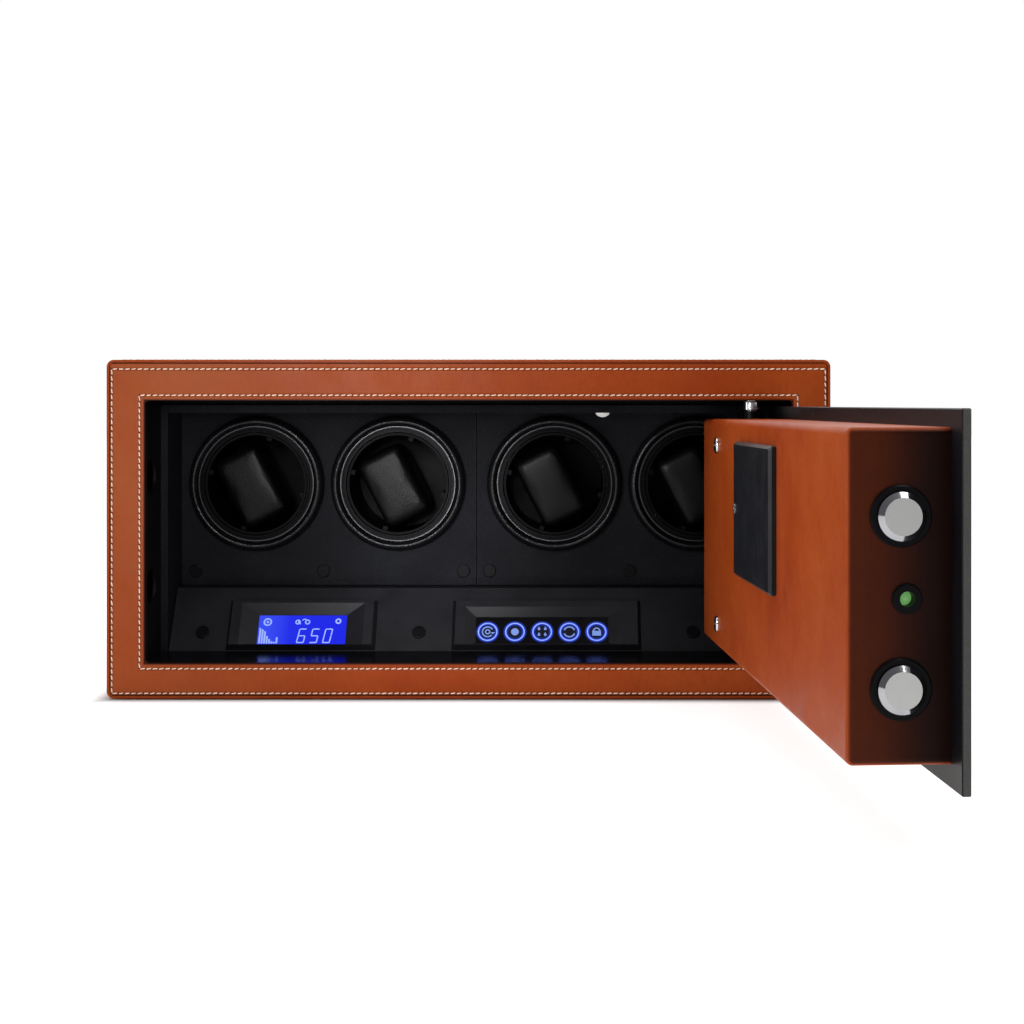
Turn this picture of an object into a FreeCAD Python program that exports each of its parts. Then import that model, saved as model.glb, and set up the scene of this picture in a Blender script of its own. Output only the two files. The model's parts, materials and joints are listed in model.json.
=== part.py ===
import FreeCAD, Part
import math
import os

# Watch winder box for four watches: a leather-covered steel cabinet with a side-hinged safe door.
# Millimetres. X runs to the right, Y to the back, Z up. The origin is the middle of the base.
# Depths called d are measured backwards from the cabinet's front plane.

# ---- driving dimensions: cabinet ----
WIDTH = 456.0
HEIGHT = 214.0
DEPTH = 270.0
CORNER_R = 4.5
MAT_T = 0.6
LEATHER_T = 1.7
STEEL_T = 3.0
SEAM_GAP = 0.4
OPEN_HALF = 204.0
OPEN_LOW = 22.7
OPEN_HIGH = 188.4
LIP_T = 1.5
ANCHOR_X = 150.0
ANCHOR_Y = 80.0
ANCHOR_R = 4.25
JACK = (170.0, 40.0)
BACK_SCREWS = ((-212, 14), (-212, 107), (-212, 200), (0, 14), (0, 200), (212, 14), (212, 107), (212, 200))

# ---- lining and winder wall ----
LINER_HALF = 202.5
LINER_T = 4.6
LINER_D = 53.0
CEILING_Z = 180.3
PANEL_D = 91.0
PANEL_T = 4.0
PANEL_LOW = 61.9
FRAME_D = 168.0
FRAME_T = 2.0
STRIKE_X = 207.1
LAMP = (86.0, 68.0)

# ---- winders ----
CUP_X = (-150.5, -53.6, 53.6, 150.5)
CUP_Z = 131.6
CUP_TURN = -27.0
RING_R = 46.4
COLLAR_R = 39.4
COLLAR_BORE = 35.4
DRUM_R = 34.8
DRUM_WALL = 1.6
DRUM_D = (86.5, 150.0)
RIB_H = 2.8
RIB_ANGLES = (-14, -106, 166, 74)
SPINDLE_R = 4.0
RUNNING = 0.05
PULLEY_D = (151.5, 157.5)
CUP_PULLEY_R = 30.0
MOTOR_PULLEY_R = 4.0
BELT_REACH = 50.0
BELT_GAP = 0.3
BELT_T = 2.0
CUSHION = {"low": -20.0, "high": 14.0, "half": 26.0, "front": 78.0, "back": 128.0}

# ---- console ----
SLOPE_FOOT = (51.0, OPEN_LOW)
SLOPE_HEAD = (76.0, 61.5)
SHELL_T = 3.0
# Each display: its bezel in X, its window in X and up the slope, and the bezel's slopes beside the
# window on the left, right, bottom and top.
LCD = {"x": (-164.0, -65.0), "window": (-143.7, -85.0), "rise": (4.0, 25.4),
       "bevel": (12.0, 12.0, 1.1, 7.8)}
TOUCH = {"x": (-14.5, 111.4), "window": (1.3, 89.8), "rise": (4.9, 24.0),
         "bevel": (7.5, 10.0, 1.9, 6.4)}
BEZEL_RISE = (0.6, 36.6)
BEZEL_T = 4.4
BEZEL_SIDE = 2.2
GLASS_RISE = 1.2
BOARD = {"x": (-70.0, 70.0), "d": (105.0, 160.0), "z": (30.0, 31.6)}
BOARD_CHIPS = ((-20, 0, 120, 140, 34.0), (14, 28, 122, 136, 33.5), (-58, -34, 146, 156, 40.0),
               (34, 56, 146, 156, 40.0))
CAP_R = 4.5
CAP_Z = 71.5
PANEL_CAPS = (-192.6, -105.0, -9.0, 9.0, 105.0, 192.6)
CONSOLE_CAP_RISE = 13.4
CONSOLE_CAPS = (-180.6, -36.5, 145.9)

# ---- door, drawn closed and then swung open ----
PIVOT_X = 181.2
PIVOT_D = 22.0
REST_SWING = 94.0
PLATE = {"half": 200.0, "z": (26.3, 184.6), "d": (3.5, 7.5)}
DOOR = {"x": (-186.2, 193.0), "z": (36.1, 176.7), "d": (7.5, 51.7)}
DOOR_LEATHER = 1.6
DOOR_STEEL = 1.6
DOOR_SCREW_X = DOOR["x"][1] - 56.0
DOOR_SCREW_Z = (51.2, 160.8)
PIN_R = 4.0
BUSH_R = 7.0
PIN_HEAD_R = 6.0
BOLT_Z = (68.1, 139.8)
BOLT_D = 29.0
BOLT_R = 10.2
BOLT_FACE_R = 7.9
BOLT_OUT = 4.6
BOLT_BODY = 40.0
COLLAR_FLANGE_R = 13.0
LED_Z = 105.5
LED_D = 26.4
KEY_X = -120.0
KEY_Z = 62.0
BATTERY = {"x": (-42.0, 60.0), "z": (89.4, 165.0)}
COVER_SCREW = (BATTERY["x"][1] - 4.2, (BATTERY["z"][0] + BATTERY["z"][1]) / 2.0)

BACK_D = DEPTH - 6.0
HALF = WIDTH / 2.0


def fy(d):
    """Y of a plane that lies d behind the front plane."""
    return d - DEPTH / 2.0


def block(x0, x1, d0, d1, z0, z1):
    return Part.makeBox(x1 - x0, d1 - d0, z1 - z0, FreeCAD.Vector(x0, fy(d0), z0))


def rod_x(r, x0, x1, d, z):
    return Part.makeCylinder(r, x1 - x0, FreeCAD.Vector(x0, fy(d), z), FreeCAD.Vector(1, 0, 0))


def rod_y(r, x, d0, d1, z):
    return Part.makeCylinder(r, d1 - d0, FreeCAD.Vector(x, fy(d0), z), FreeCAD.Vector(0, 1, 0))


def rod_z(r, x, d, z0, z1):
    return Part.makeCylinder(r, z1 - z0, FreeCAD.Vector(x, fy(d), z0), FreeCAD.Vector(0, 0, 1))


def edges_along(shape, axis):
    """Straight edges of a shape that run along one axis."""
    found = []
    for edge in shape.Edges:
        if isinstance(edge.Curve, Part.Line) and abs(edge.Curve.Direction.dot(axis)) > 0.999:
            found.append(edge)
    return found


def rounded_block(x0, x1, d0, d1, z0, z1, r, axis="y"):
    """Block whose four edges along one axis are rounded."""
    way = {"x": (1, 0, 0), "y": (0, 1, 0), "z": (0, 0, 1)}[axis]
    shape = block(x0, x1, d0, d1, z0, z1)
    return shape.makeFillet(r, edges_along(shape, FreeCAD.Vector(*way)))


def soft_block(x0, x1, d0, d1, z0, z1, r):
    """Block with every edge rounded."""
    shape = block(x0, x1, d0, d1, z0, z1)
    return shape.makeFillet(r, shape.Edges)


def turned(points, x, z):
    """Solid of revolution about a cup's axis, from (radius, depth) points; a triple gives an arc."""
    edges = []
    last = points[0]
    for point in points[1:] + points[:1]:
        start = FreeCAD.Vector(last[0], fy(last[1]), 0)
        end = FreeCAD.Vector(point[0], fy(point[1]), 0)
        if len(point) == 4:
            middle = FreeCAD.Vector(point[2], fy(point[3]), 0)
            edges.append(Part.Arc(start, middle, end).toShape())
        else:
            edges.append(Part.LineSegment(start, end).toShape())
        last = point
    face = Part.Face(Part.Wire(edges))
    solid = face.revolve(FreeCAD.Vector(0, 0, 0), FreeCAD.Vector(0, 1, 0), 360)
    solid.translate(FreeCAD.Vector(x, 0, z))
    return solid


def group(shapes):
    return Part.makeCompound(shapes)


def spun(shape, x, z, degrees):
    """Turns a shape about a winder's own axis."""
    shape.rotate(FreeCAD.Vector(x, 0, z), FreeCAD.Vector(0, 1, 0), degrees)
    return shape


def swung(shape):
    """Swings a door piece from closed to the open rest position."""
    shape.rotate(FreeCAD.Vector(PIVOT_X, fy(PIVOT_D), 0), FreeCAD.Vector(0, 0, 1), REST_SWING)
    return shape


def save(name, shape):
    shape.exportStep("parts/%s.step" % name)


# ---------------------------------------------------------------- cabinet shell
def anchor_holes(z0, z1):
    return group([Part.makeCylinder(ANCHOR_R, z1 - z0, FreeCAD.Vector(sx * ANCHOR_X, sy * ANCHOR_Y, z0))
                  for sx in (-1, 1) for sy in (-1, 1)])


def base_mat():
    mat = rounded_block(-HALF + 8, HALF - 8, 8, DEPTH - 8, 0, MAT_T, 10, "z")
    return mat.cut(anchor_holes(-1, MAT_T + 1))


def leather_wrap():
    inset = LEATHER_T
    outer = rounded_block(-HALF, HALF, 0.3, DEPTH, MAT_T, HEIGHT, CORNER_R)
    inner = rounded_block(-HALF + inset, HALF - inset, -1, DEPTH + 1, MAT_T + inset, HEIGHT - inset,
                          CORNER_R - inset)
    return outer.cut(inner).cut(anchor_holes(MAT_T - 1, MAT_T + inset + 1))


def steel_shell():
    a = LEATHER_T
    b = LEATHER_T + STEEL_T
    outer = rounded_block(-HALF + a, HALF - a, 4.8, BACK_D, MAT_T + a, HEIGHT - a, CORNER_R - a)
    inner = block(-HALF + b, HALF - b, 0, BACK_D + 5, MAT_T + b, HEIGHT - b)
    return outer.cut(inner).cut(anchor_holes(0, MAT_T + b + 1))


def opening_block(grow, d0, d1):
    return rounded_block(-OPEN_HALF - grow, OPEN_HALF + grow, d0, d1, OPEN_LOW - grow, OPEN_HIGH + grow,
                         2.0 + grow)


def leather_front():
    edge = LEATHER_T + SEAM_GAP
    face = rounded_block(-HALF + edge, HALF - edge, 0, LEATHER_T, MAT_T + edge, HEIGHT - edge,
                         CORNER_R - edge)
    rim = opening_block(LIP_T, LEATHER_T - 0.2, 4.8)
    return face.fuse(rim).cut(opening_block(0, -1, 6)).removeSplitter()


def front_flange():
    """Steel front frame with the folded strike that the two bolts shoot into."""
    a = LEATHER_T
    plate = rounded_block(-HALF + a, HALF - a, LEATHER_T, 4.8, MAT_T + a, HEIGHT - a, CORNER_R - a)
    plate = plate.cut(opening_block(LIP_T, 0, 6))
    strike = block(-STRIKE_X - 2, -STRIKE_X, 4.8, LINER_D + 4, OPEN_LOW, OPEN_HIGH + LIP_T)
    for z in BOLT_Z:
        strike = strike.cut(rod_x(BOLT_R + 1.3, -STRIKE_X - 4, -STRIKE_X + 2, BOLT_D, z))
    return plate.fuse(strike)


def back_plate():
    a = LEATHER_T
    plate = rounded_block(-HALF + a, HALF - a, BACK_D, BACK_D + STEEL_T, MAT_T + a, HEIGHT - a, CORNER_R - a)
    x, z = JACK
    return plate.cut(rod_y(5.6, x, BACK_D - 2, BACK_D + 5, z))


def back_screws():
    heads = []
    start = BACK_D + STEEL_T
    for x, z in BACK_SCREWS:
        head = rod_y(4.0, x, start, start + 2.2, z)
        rim = [e for e in head.Edges if e.BoundBox.YMin > fy(start) + 2 and e.BoundBox.XLength > 2]
        heads.append(head.makeFillet(1.0, rim).cut(rod_y(1.6, x, start + 0.9, start + 3, z)))
    return group(heads)


def dc_jack():
    x, z = JACK
    body = block(x - 7, x + 7, BACK_D - 14, BACK_D, z - 6, z + 6)
    nose = rod_y(5.5, x, BACK_D - 1, BACK_D + 4.0, z)
    socket = rod_y(3.2, x, BACK_D - 5, BACK_D + 5, z)
    pin = rod_y(1.05, x, BACK_D - 6, BACK_D + 3.0, z)
    return body.fuse(nose).cut(socket).fuse(pin)


# ---------------------------------------------------------------- lining
def liner_left():
    return block(-LINER_HALF - LINER_T, -LINER_HALF, LINER_D, FRAME_D, OPEN_LOW, CEILING_Z + 5)


def liner_right():
    board = block(LINER_HALF, LINER_HALF + LINER_T, LINER_D, FRAME_D, OPEN_LOW, CEILING_Z + 5)
    wall = HALF - LEATHER_T - STEEL_T
    closing = block(LINER_HALF + LINER_T, wall, LINER_D + 5, LINER_D + 7, OPEN_LOW, CEILING_Z + 5)
    return board.fuse(closing)


def liner_ceiling():
    board = block(-LINER_HALF, LINER_HALF, LINER_D, FRAME_D, CEILING_Z, CEILING_Z + 5)
    wall = HALF - LEATHER_T - STEEL_T
    top = HEIGHT - LEATHER_T - STEEL_T
    closing = block(-wall, wall, LINER_D + 5, LINER_D + 7, CEILING_Z + 5, top)
    x, d = LAMP
    return board.fuse(closing).cut(rod_z(3.0, x, d, CEILING_Z - 1, CEILING_Z + 6))


def ceiling_lamp():
    x, d = LAMP
    dome = Part.makeSphere(6.0, FreeCAD.Vector(x, fy(d), CEILING_Z + 3.0))
    dome = dome.common(rod_z(4.5, x, d, CEILING_Z - 3.0, CEILING_Z))
    stem = rod_z(2.9, x, d, CEILING_Z - 0.5, CEILING_Z + 8)
    return dome.fuse(stem)


def liner_floor():
    wall = HALF - LEATHER_T - STEEL_T
    board = block(-wall, wall, 4.8, FRAME_D, OPEN_LOW - 4, OPEN_LOW)
    return board.cut(rod_z(PIN_R + 0.5, PIVOT_X, PIVOT_D, OPEN_LOW - 5, OPEN_LOW + 1))


def winder_panel(side):
    x0, x1 = (-LINER_HALF + 0.2, -0.2) if side == "left" else (0.2, LINER_HALF - 0.2)
    panel = block(x0, x1, PANEL_D, PANEL_D + PANEL_T, PANEL_LOW, CEILING_Z - 0.2)
    for x in CUP_X:
        panel = panel.cut(rod_y(37.4, x, PANEL_D - 1, PANEL_D + PANEL_T + 1, CUP_Z))
    for x in PANEL_CAPS:
        panel = panel.cut(rod_y(2.6, x, PANEL_D - 1, PANEL_D + PANEL_T + 1, CAP_Z))
    return panel


def on_slope(shape):
    """Lays a shape drawn flat (X across, Y up the slope, Z outward) onto the console's slope."""
    run = SLOPE_HEAD[0] - SLOPE_FOOT[0]
    lift = SLOPE_HEAD[1] - SLOPE_FOOT[1]
    shape.rotate(FreeCAD.Vector(0, 0, 0), FreeCAD.Vector(1, 0, 0), math.degrees(math.atan2(lift, run)))
    shape.translate(FreeCAD.Vector(0, fy(SLOPE_FOOT[0]), SLOPE_FOOT[1]))
    return shape


def flat_block(x0, x1, v0, v1, w0, w1):
    return Part.makeBox(x1 - x0, v1 - v0, w1 - w0, FreeCAD.Vector(x0, v0, w0))


def cap_solid():
    """Press-in screw cap: a shallow dome with a moulded ring, drawn flat, stem inwards."""
    dish = Part.makeCylinder(CAP_R, 1.2)
    dish = dish.makeFillet(0.6, [e for e in dish.Edges if e.BoundBox.ZMin > 1.1 and e.BoundBox.XLength > 2])
    ring = Part.makeCylinder(CAP_R - 1.5, 1, FreeCAD.Vector(0, 0, 0.9)).cut(
        Part.makeCylinder(CAP_R - 2.1, 1, FreeCAD.Vector(0, 0, 0.8)))
    stem = Part.makeCylinder(2.4, 3.6, FreeCAD.Vector(0, 0, -3.5))
    return dish.cut(ring).fuse(stem)


def screw_caps():
    caps = []
    for x in PANEL_CAPS:
        cap = cap_solid()
        cap.rotate(FreeCAD.Vector(0, 0, 0), FreeCAD.Vector(1, 0, 0), 90)
        cap.translate(FreeCAD.Vector(x, fy(PANEL_D), CAP_Z))
        caps.append(cap)
    for x in CONSOLE_CAPS:
        cap = cap_solid()
        cap.translate(FreeCAD.Vector(x, CONSOLE_CAP_RISE, 0))
        caps.append(on_slope(cap))
    return group(caps)


# ---------------------------------------------------------------- console
def console_panel():
    angle = math.atan2(SLOPE_HEAD[1] - SLOPE_FOOT[1], SLOPE_HEAD[0] - SLOPE_FOOT[0])
    back = SHELL_T / math.sin(angle)
    turn = SHELL_T * math.tan(angle / 2.0)
    outline = [SLOPE_FOOT, SLOPE_HEAD, (PANEL_D + 10, SLOPE_HEAD[1]),
               (PANEL_D + 10, SLOPE_HEAD[1] - SHELL_T), (SLOPE_HEAD[0] + turn, SLOPE_HEAD[1] - SHELL_T),
               (SLOPE_FOOT[0] + back, SLOPE_FOOT[1])]
    points = [FreeCAD.Vector(-LINER_HALF + 1, fy(d), z) for d, z in outline]
    face = Part.Face(Part.makePolygon(points + points[:1]))
    panel = face.extrude(FreeCAD.Vector(2 * LINER_HALF - 2, 0, 0))
    for unit in (LCD, TOUCH):
        x0, x1 = unit["window"]
        v0, v1 = unit["rise"]
        panel = panel.cut(on_slope(flat_block(x0 + 2, x1 - 2, v0 + 2, v1 - 2, -6, 6)))
    for x in CONSOLE_CAPS:
        hole = Part.makeCylinder(2.6, 12, FreeCAD.Vector(x, CONSOLE_CAP_RISE, -6))
        panel = panel.cut(on_slope(hole))
    return panel


def frustum(x0, x1, v0, v1, w0, w1, insets):
    """Block whose rectangle at w1 is smaller than at w0, by its left, right, bottom and top insets."""
    left, right, bottom, top = insets
    wires = []
    for w, share in ((w0, 0.0), (w1, 1.0)):
        low_x, high_x = x0 + share * left, x1 - share * right
        low_v, high_v = v0 + share * bottom, v1 - share * top
        corners = [(low_x, low_v), (high_x, low_v), (high_x, high_v), (low_x, high_v)]
        points = [FreeCAD.Vector(x, v, w) for x, v in corners]
        wires.append(Part.makePolygon(points + points[:1]))
    return Part.makeLoft(wires, True, True)


def bezel(unit):
    """Raised frame round a display, with a bevel outside and broad slopes down to the glass."""
    x0, x1 = unit["x"]
    v0, v1 = BEZEL_RISE
    a0, a1 = unit["window"]
    b0, b1 = unit["rise"]
    left, right, bottom, top = unit["bevel"]
    body = frustum(x0, x1, v0, v1, 0.0, BEZEL_T, (BEZEL_SIDE,) * 4)
    well = frustum(a0 - left, a1 + right, b0 - bottom, b1 + top, BEZEL_T + 0.1, GLASS_RISE, unit["bevel"])
    window = flat_block(a0, a1, b0, b1, -1, BEZEL_T + 1)
    return on_slope(body.cut(well).cut(window))


def display_glass(unit):
    x0, x1 = unit["window"]
    v0, v1 = unit["rise"]
    glass = flat_block(x0 + 0.1, x1 - 0.1, v0 + 0.1, v1 - 0.1, 0.0, 1.0)
    module = flat_block(x0 + 2.2, x1 - 2.2, v0 + 2.2, v1 - 2.2, -5.0, 0.1)
    return on_slope(glass.fuse(module))


def control_board():
    """Board on four pillars, with two chips, two plug housings and two capacitors."""
    parts = [block(*BOARD["x"], *BOARD["d"], *BOARD["z"])]
    for x, d in ((-62, 112), (62, 112), (-62, 153), (62, 153)):
        parts.append(rod_z(3.0, x, d, OPEN_LOW, 30.2))
    for x0, x1, d0, d1, top in BOARD_CHIPS:
        parts.append(block(x0, x1, d0, d1, 31.4, top))
    for x, d in ((-48, 124), (44, 126)):
        parts.append(rod_z(4.0, x, d, 31.4, 42.0))
    return parts[0].multiFuse(parts[1:])


# ---------------------------------------------------------------- winders
def ring_pad(x):
    low, high = COLLAR_R + 0.2, RING_R
    middle = (low + high) / 2.0
    return turned([(low, PANEL_D), (low, 87.2), (high, 87.2, middle, 83.0), (high, PANEL_D)], x, CUP_Z)


def ring_collar(x):
    return turned([(COLLAR_BORE, 97.0), (COLLAR_BORE, 85.6), (36.4, 85.6), (36.4, 88.2), (37.8, 88.2),
                   (37.8, 86.8), (COLLAR_R, 86.8), (COLLAR_R, PANEL_D), (37.2, PANEL_D), (37.2, 97.0)],
                  x, CUP_Z)


def cup(x):
    """Drum with guide ribs inside, a grooved belt pulley behind it and a spindle."""
    inner = DRUM_R - DRUM_WALL
    front, back = DRUM_D
    flange = CUP_PULLEY_R + 3.0
    p0, p1 = PULLEY_D
    drum = turned([(0, back - 3), (inner, back - 3), (inner, front), (DRUM_R, front), (DRUM_R, back),
                   (12, back), (12, p0), (flange, p0), (flange, p0 + 1), (CUP_PULLEY_R, p0 + 1),
                   (CUP_PULLEY_R, p1 - 1), (flange, p1 - 1), (flange, p1), (9, p1), (9, 162.5),
                   (SPINDLE_R, 162.5), (SPINDLE_R, 176), (0, 176)], x, CUP_Z)
    ribs = []
    for angle in RIB_ANGLES:
        rib = block(x + inner - RIB_H, x + inner + 0.6, front + 2.0, back - 2.5, CUP_Z - 1.6, CUP_Z + 1.6)
        ribs.append(spun(rib, x, CUP_Z, -angle))
    return drum.multiFuse(ribs)


def cushion(x):
    c = CUSHION
    shape = block(x + c["low"], x + c["high"], c["front"], c["back"], CUP_Z - c["half"], CUP_Z + c["half"])
    shape = shape.makeFillet(8.0, edges_along(shape, FreeCAD.Vector(0, 1, 0)))
    ends = [e for e in shape.Edges if e.BoundBox.YLength < 0.01]
    return spun(shape.makeFillet(5.0, ends), x, CUP_Z, CUP_TURN)


def belt_outline(r_big, r_small):
    """Closed loop round two pulleys, the small one BELT_REACH below the big one."""
    spread = math.acos((r_big - r_small) / BELT_REACH)

    def point(r, z, angle):
        return FreeCAD.Vector(r * math.sin(angle), 0, z - r * math.cos(angle))
    big_a, big_b = point(r_big, 0, spread), point(r_big, 0, -spread)
    small_a = point(r_small, -BELT_REACH, spread)
    small_b = point(r_small, -BELT_REACH, -spread)
    over = Part.Arc(big_a, FreeCAD.Vector(0, 0, r_big), big_b).toShape()
    under = Part.Arc(small_b, FreeCAD.Vector(0, 0, -BELT_REACH - r_small), small_a).toShape()
    sides = [Part.LineSegment(big_b, small_b).toShape(), Part.LineSegment(small_a, big_a).toShape()]
    return Part.Face(Part.Wire([over, sides[0], under, sides[1]]))


def belt(x):
    inner = belt_outline(CUP_PULLEY_R + BELT_GAP, MOTOR_PULLEY_R + BELT_GAP)
    outer = belt_outline(CUP_PULLEY_R + BELT_GAP + BELT_T, MOTOR_PULLEY_R + BELT_GAP + BELT_T)
    loop = outer.cut(inner).extrude(FreeCAD.Vector(0, 2.4, 0))
    middle = (PULLEY_D[0] + PULLEY_D[1]) / 2.0
    loop.translate(FreeCAD.Vector(x, fy(middle - 1.2), CUP_Z))
    return loop


def motor_pulley(x):
    p0, p1 = PULLEY_D
    flange = MOTOR_PULLEY_R + 3.0
    return turned([(0, p0 - 0.5), (flange, p0 - 0.5), (flange, p0 + 0.5), (MOTOR_PULLEY_R, p0 + 0.5),
                   (MOTOR_PULLEY_R, p1 - 0.5), (flange, p1 - 0.5), (flange, p1 + 0.5), (1.5, p1 + 0.5),
                   (1.5, 176), (0, 176)], x, CUP_Z - BELT_REACH)


def drive_motor(x):
    z = CUP_Z - BELT_REACH
    can = rod_y(12.0, x, FRAME_D + FRAME_T, 200, z)
    rear = [e for e in can.Edges if e.BoundBox.YMin > fy(199) and e.BoundBox.XLength > 2]
    can = can.makeFillet(1.5, rear)
    boss = rod_y(4.0, x, FRAME_D - 2, FRAME_D + FRAME_T + 1, z)
    return can.fuse(boss).cut(rod_y(1.5 + RUNNING, x, FRAME_D - 4, 178, z))


def axle_bearing(x):
    return turned([(SPINDLE_R + RUNNING, 164), (8, 164), (8, 166), (11, 166), (11, FRAME_D), (8, FRAME_D),
                   (8, 174), (SPINDLE_R + RUNNING, 174)], x, CUP_Z)


def drive_frame():
    wall = HALF - LEATHER_T - STEEL_T
    plate = block(-wall, wall, FRAME_D, FRAME_D + FRAME_T, OPEN_LOW - 4, CEILING_Z + 5)
    for side in (-1, 1):
        fold = block(min(side * wall, side * (wall - 2)), max(side * wall, side * (wall - 2)),
                     FRAME_D, FRAME_D + 16, OPEN_LOW - 4, CEILING_Z + 5)
        plate = plate.fuse(fold)
    for x in CUP_X:
        plate = plate.cut(rod_y(8.0, x, FRAME_D - 1, FRAME_D + 4, CUP_Z))
        plate = plate.cut(rod_y(4.0, x, FRAME_D - 1, FRAME_D + 4, CUP_Z - BELT_REACH))
    return plate


# ---------------------------------------------------------------- hinges
def hinge_bracket(upper):
    """Steel angle on the side wall that carries one hinge pin."""
    wall = HALF - LEATHER_T - STEEL_T
    if upper:
        arm = block(168, wall, 8, 46, 190.0, 194.0)
        leg = block(wall - 3, wall, 8, 46, 190.0, 208.0)
    else:
        arm = block(168, wall, 8, 46, 14.0, 18.0)
        leg = block(wall - 3, wall, 8, 46, 7.0, 18.0)
    return arm.fuse(leg).cut(rod_z(PIN_R, PIVOT_X, PIVOT_D, 0, HEIGHT))


def hinge_pins():
    top = rod_z(PIN_R, PIVOT_X, PIVOT_D, 160.5, 194.0)
    head = rod_z(PIN_HEAD_R, PIVOT_X, PIVOT_D, DOOR["z"][1] + 5.2, OPEN_HIGH - 0.4)
    head = head.makeFillet(0.8, [e for e in head.Edges if e.BoundBox.ZLength < 0.01])
    foot = rod_z(PIN_R, PIVOT_X, PIVOT_D, 14.0, 52.0)
    seat = rod_z(PIN_HEAD_R, PIVOT_X, PIVOT_D, OPEN_LOW, DOOR["z"][0] - 5.2)
    seat = seat.makeFillet(0.8, [e for e in seat.Edges if e.BoundBox.ZLength < 0.01])
    return group([top.fuse(head), foot.fuse(seat)])


def hinge_bushes():
    z0, z1 = DOOR["z"]
    bushes = []
    for face, way in ((z1, 1), (z0, -1)):
        collar = rod_z(BUSH_R, PIVOT_X, PIVOT_D, min(face, face + 5 * way), max(face, face + 5 * way))
        sleeve = rod_z(6.0, PIVOT_X, PIVOT_D, min(face, face - 18 * way), max(face, face - 18 * way))
        bore = rod_z(PIN_R + RUNNING, PIVOT_X, PIVOT_D, 0, HEIGHT)
        bushes.append(collar.fuse(sleeve).cut(bore))
    return group(bushes)


# ---------------------------------------------------------------- door
def door_plate():
    z0, z1 = PLATE["z"]
    d0, d1 = PLATE["d"]
    plate = block(-PLATE["half"], PLATE["half"], d0, d1, z0, z1)
    plate = plate.makeChamfer(0.5, plate.Edges)
    cable = block(KEY_X - 8, KEY_X + 8, 0, 10, 118, 126)
    return plate.cut(rod_y(9.0, KEY_X, 0, 10, KEY_Z)).cut(cable)


def door_openings(shape):
    """Holes through the door's end and back walls for bolts, lamp, hinge bushes and batteries."""
    x0, x1 = DOOR["x"]
    for z in BOLT_Z:
        shape = shape.cut(rod_x(BOLT_R + 1.6, x0 - 2, x0 + 6, BOLT_D, z))
    shape = shape.cut(rod_x(5.0, x0 - 2, x0 + 6, LED_D, LED_Z))
    shape = shape.cut(rod_z(6.0, PIVOT_X, PIVOT_D, DOOR["z"][0] - 1, DOOR["z"][0] + 6))
    shape = shape.cut(rod_z(6.0, PIVOT_X, PIVOT_D, DOOR["z"][1] - 6, DOOR["z"][1] + 1))
    bx0, bx1 = BATTERY["x"]
    bz0, bz1 = BATTERY["z"]
    shape = shape.cut(block(bx0 + 6, bx1 - 8, 40, 60, bz0 + 6, bz1 - 6))
    for z in DOOR_SCREW_Z:
        shape = shape.cut(rod_y(2.5, DOOR_SCREW_X, 40, 60, z))
    return shape.cut(rod_y(1.8, COVER_SCREW[0], 40, 60, COVER_SCREW[1]))


def door_box(inset, r):
    x0, x1 = DOOR["x"]
    z0, z1 = DOOR["z"]
    d0, d1 = DOOR["d"]
    shape = block(x0 + inset, x1 - inset, d0, d1 - inset, z0 + inset, z1 - inset)
    if r <= 0:
        return shape
    rounded = [e for e in shape.Edges if e.BoundBox.YMin > fy(d0) + 0.5 or e.BoundBox.YLength > 1]
    return shape.makeFillet(r, rounded)


def door_leather():
    skin = door_box(0.0, 3.2).cut(door_box(DOOR_LEATHER, 1.6))
    return door_openings(skin)


def door_shell():
    pan = door_box(DOOR_LEATHER, 1.6).cut(door_box(DOOR_LEATHER + DOOR_STEEL, 0))
    return door_openings(pan)


def bolt_collars():
    x0 = DOOR["x"][0]
    collars = []
    for z in BOLT_Z:
        flange = rod_x(COLLAR_FLANGE_R, x0 - 1.4, x0, BOLT_D, z)
        outer = [e for e in flange.Edges if e.BoundBox.XMax < x0 - 1.3 and e.BoundBox.YLength > 2]
        flange = flange.makeChamfer(0.6, outer)
        tube = rod_x(BOLT_R + 1.6, x0 - 0.5, x0 + 12, BOLT_D, z)
        bore = rod_x(BOLT_R + 0.1, x0 - 4, x0 + 16, BOLT_D, z)
        collars.append(flange.fuse(tube).cut(bore))
    return group(collars)


def lock_bolts():
    x0 = DOOR["x"][0]
    bolts = []
    for z in BOLT_Z:
        shank = rod_x(BOLT_R, x0 - BOLT_OUT + 1.8, x0 + BOLT_BODY, BOLT_D, z)
        nose = Part.makeCone(BOLT_FACE_R, BOLT_R, 1.8, FreeCAD.Vector(x0 - BOLT_OUT, fy(BOLT_D), z),
                             FreeCAD.Vector(1, 0, 0))
        bolts.append(shank.fuse(nose))
    return group(bolts)


def bolt_carrier():
    x = DOOR["x"][0] + BOLT_BODY
    bar = rounded_block(x, x + 4, BOLT_D - 9, BOLT_D + 9, BOLT_Z[0] - 12, BOLT_Z[1] + 12, 4, "x")
    rod = rod_x(3.0, x + 3, -90, BOLT_D, (BOLT_Z[0] + BOLT_Z[1]) / 2.0)
    return bar.fuse(rod)


def lock_actuator():
    z = (BOLT_Z[0] + BOLT_Z[1]) / 2.0
    body = rounded_block(-132, -72, DOOR["d"][0], 40, z - 19, z + 19, 3, "y")
    return body.cut(rod_x(3.0 + 0.1, -134, -84, BOLT_D, z))


def led_bush():
    x0 = DOOR["x"][0]
    flange = rod_x(6.4, x0 - 1.2, x0, LED_D, LED_Z)
    outer = [e for e in flange.Edges if e.BoundBox.XMax < x0 - 1.1 and e.BoundBox.YLength > 2]
    flange = flange.makeFillet(0.6, outer)
    tube = rod_x(5.0, x0 - 0.4, x0 + 10, LED_D, LED_Z)
    return flange.fuse(tube).cut(rod_x(3.2, x0 - 2, x0 + 12, LED_D, LED_Z))


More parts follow.
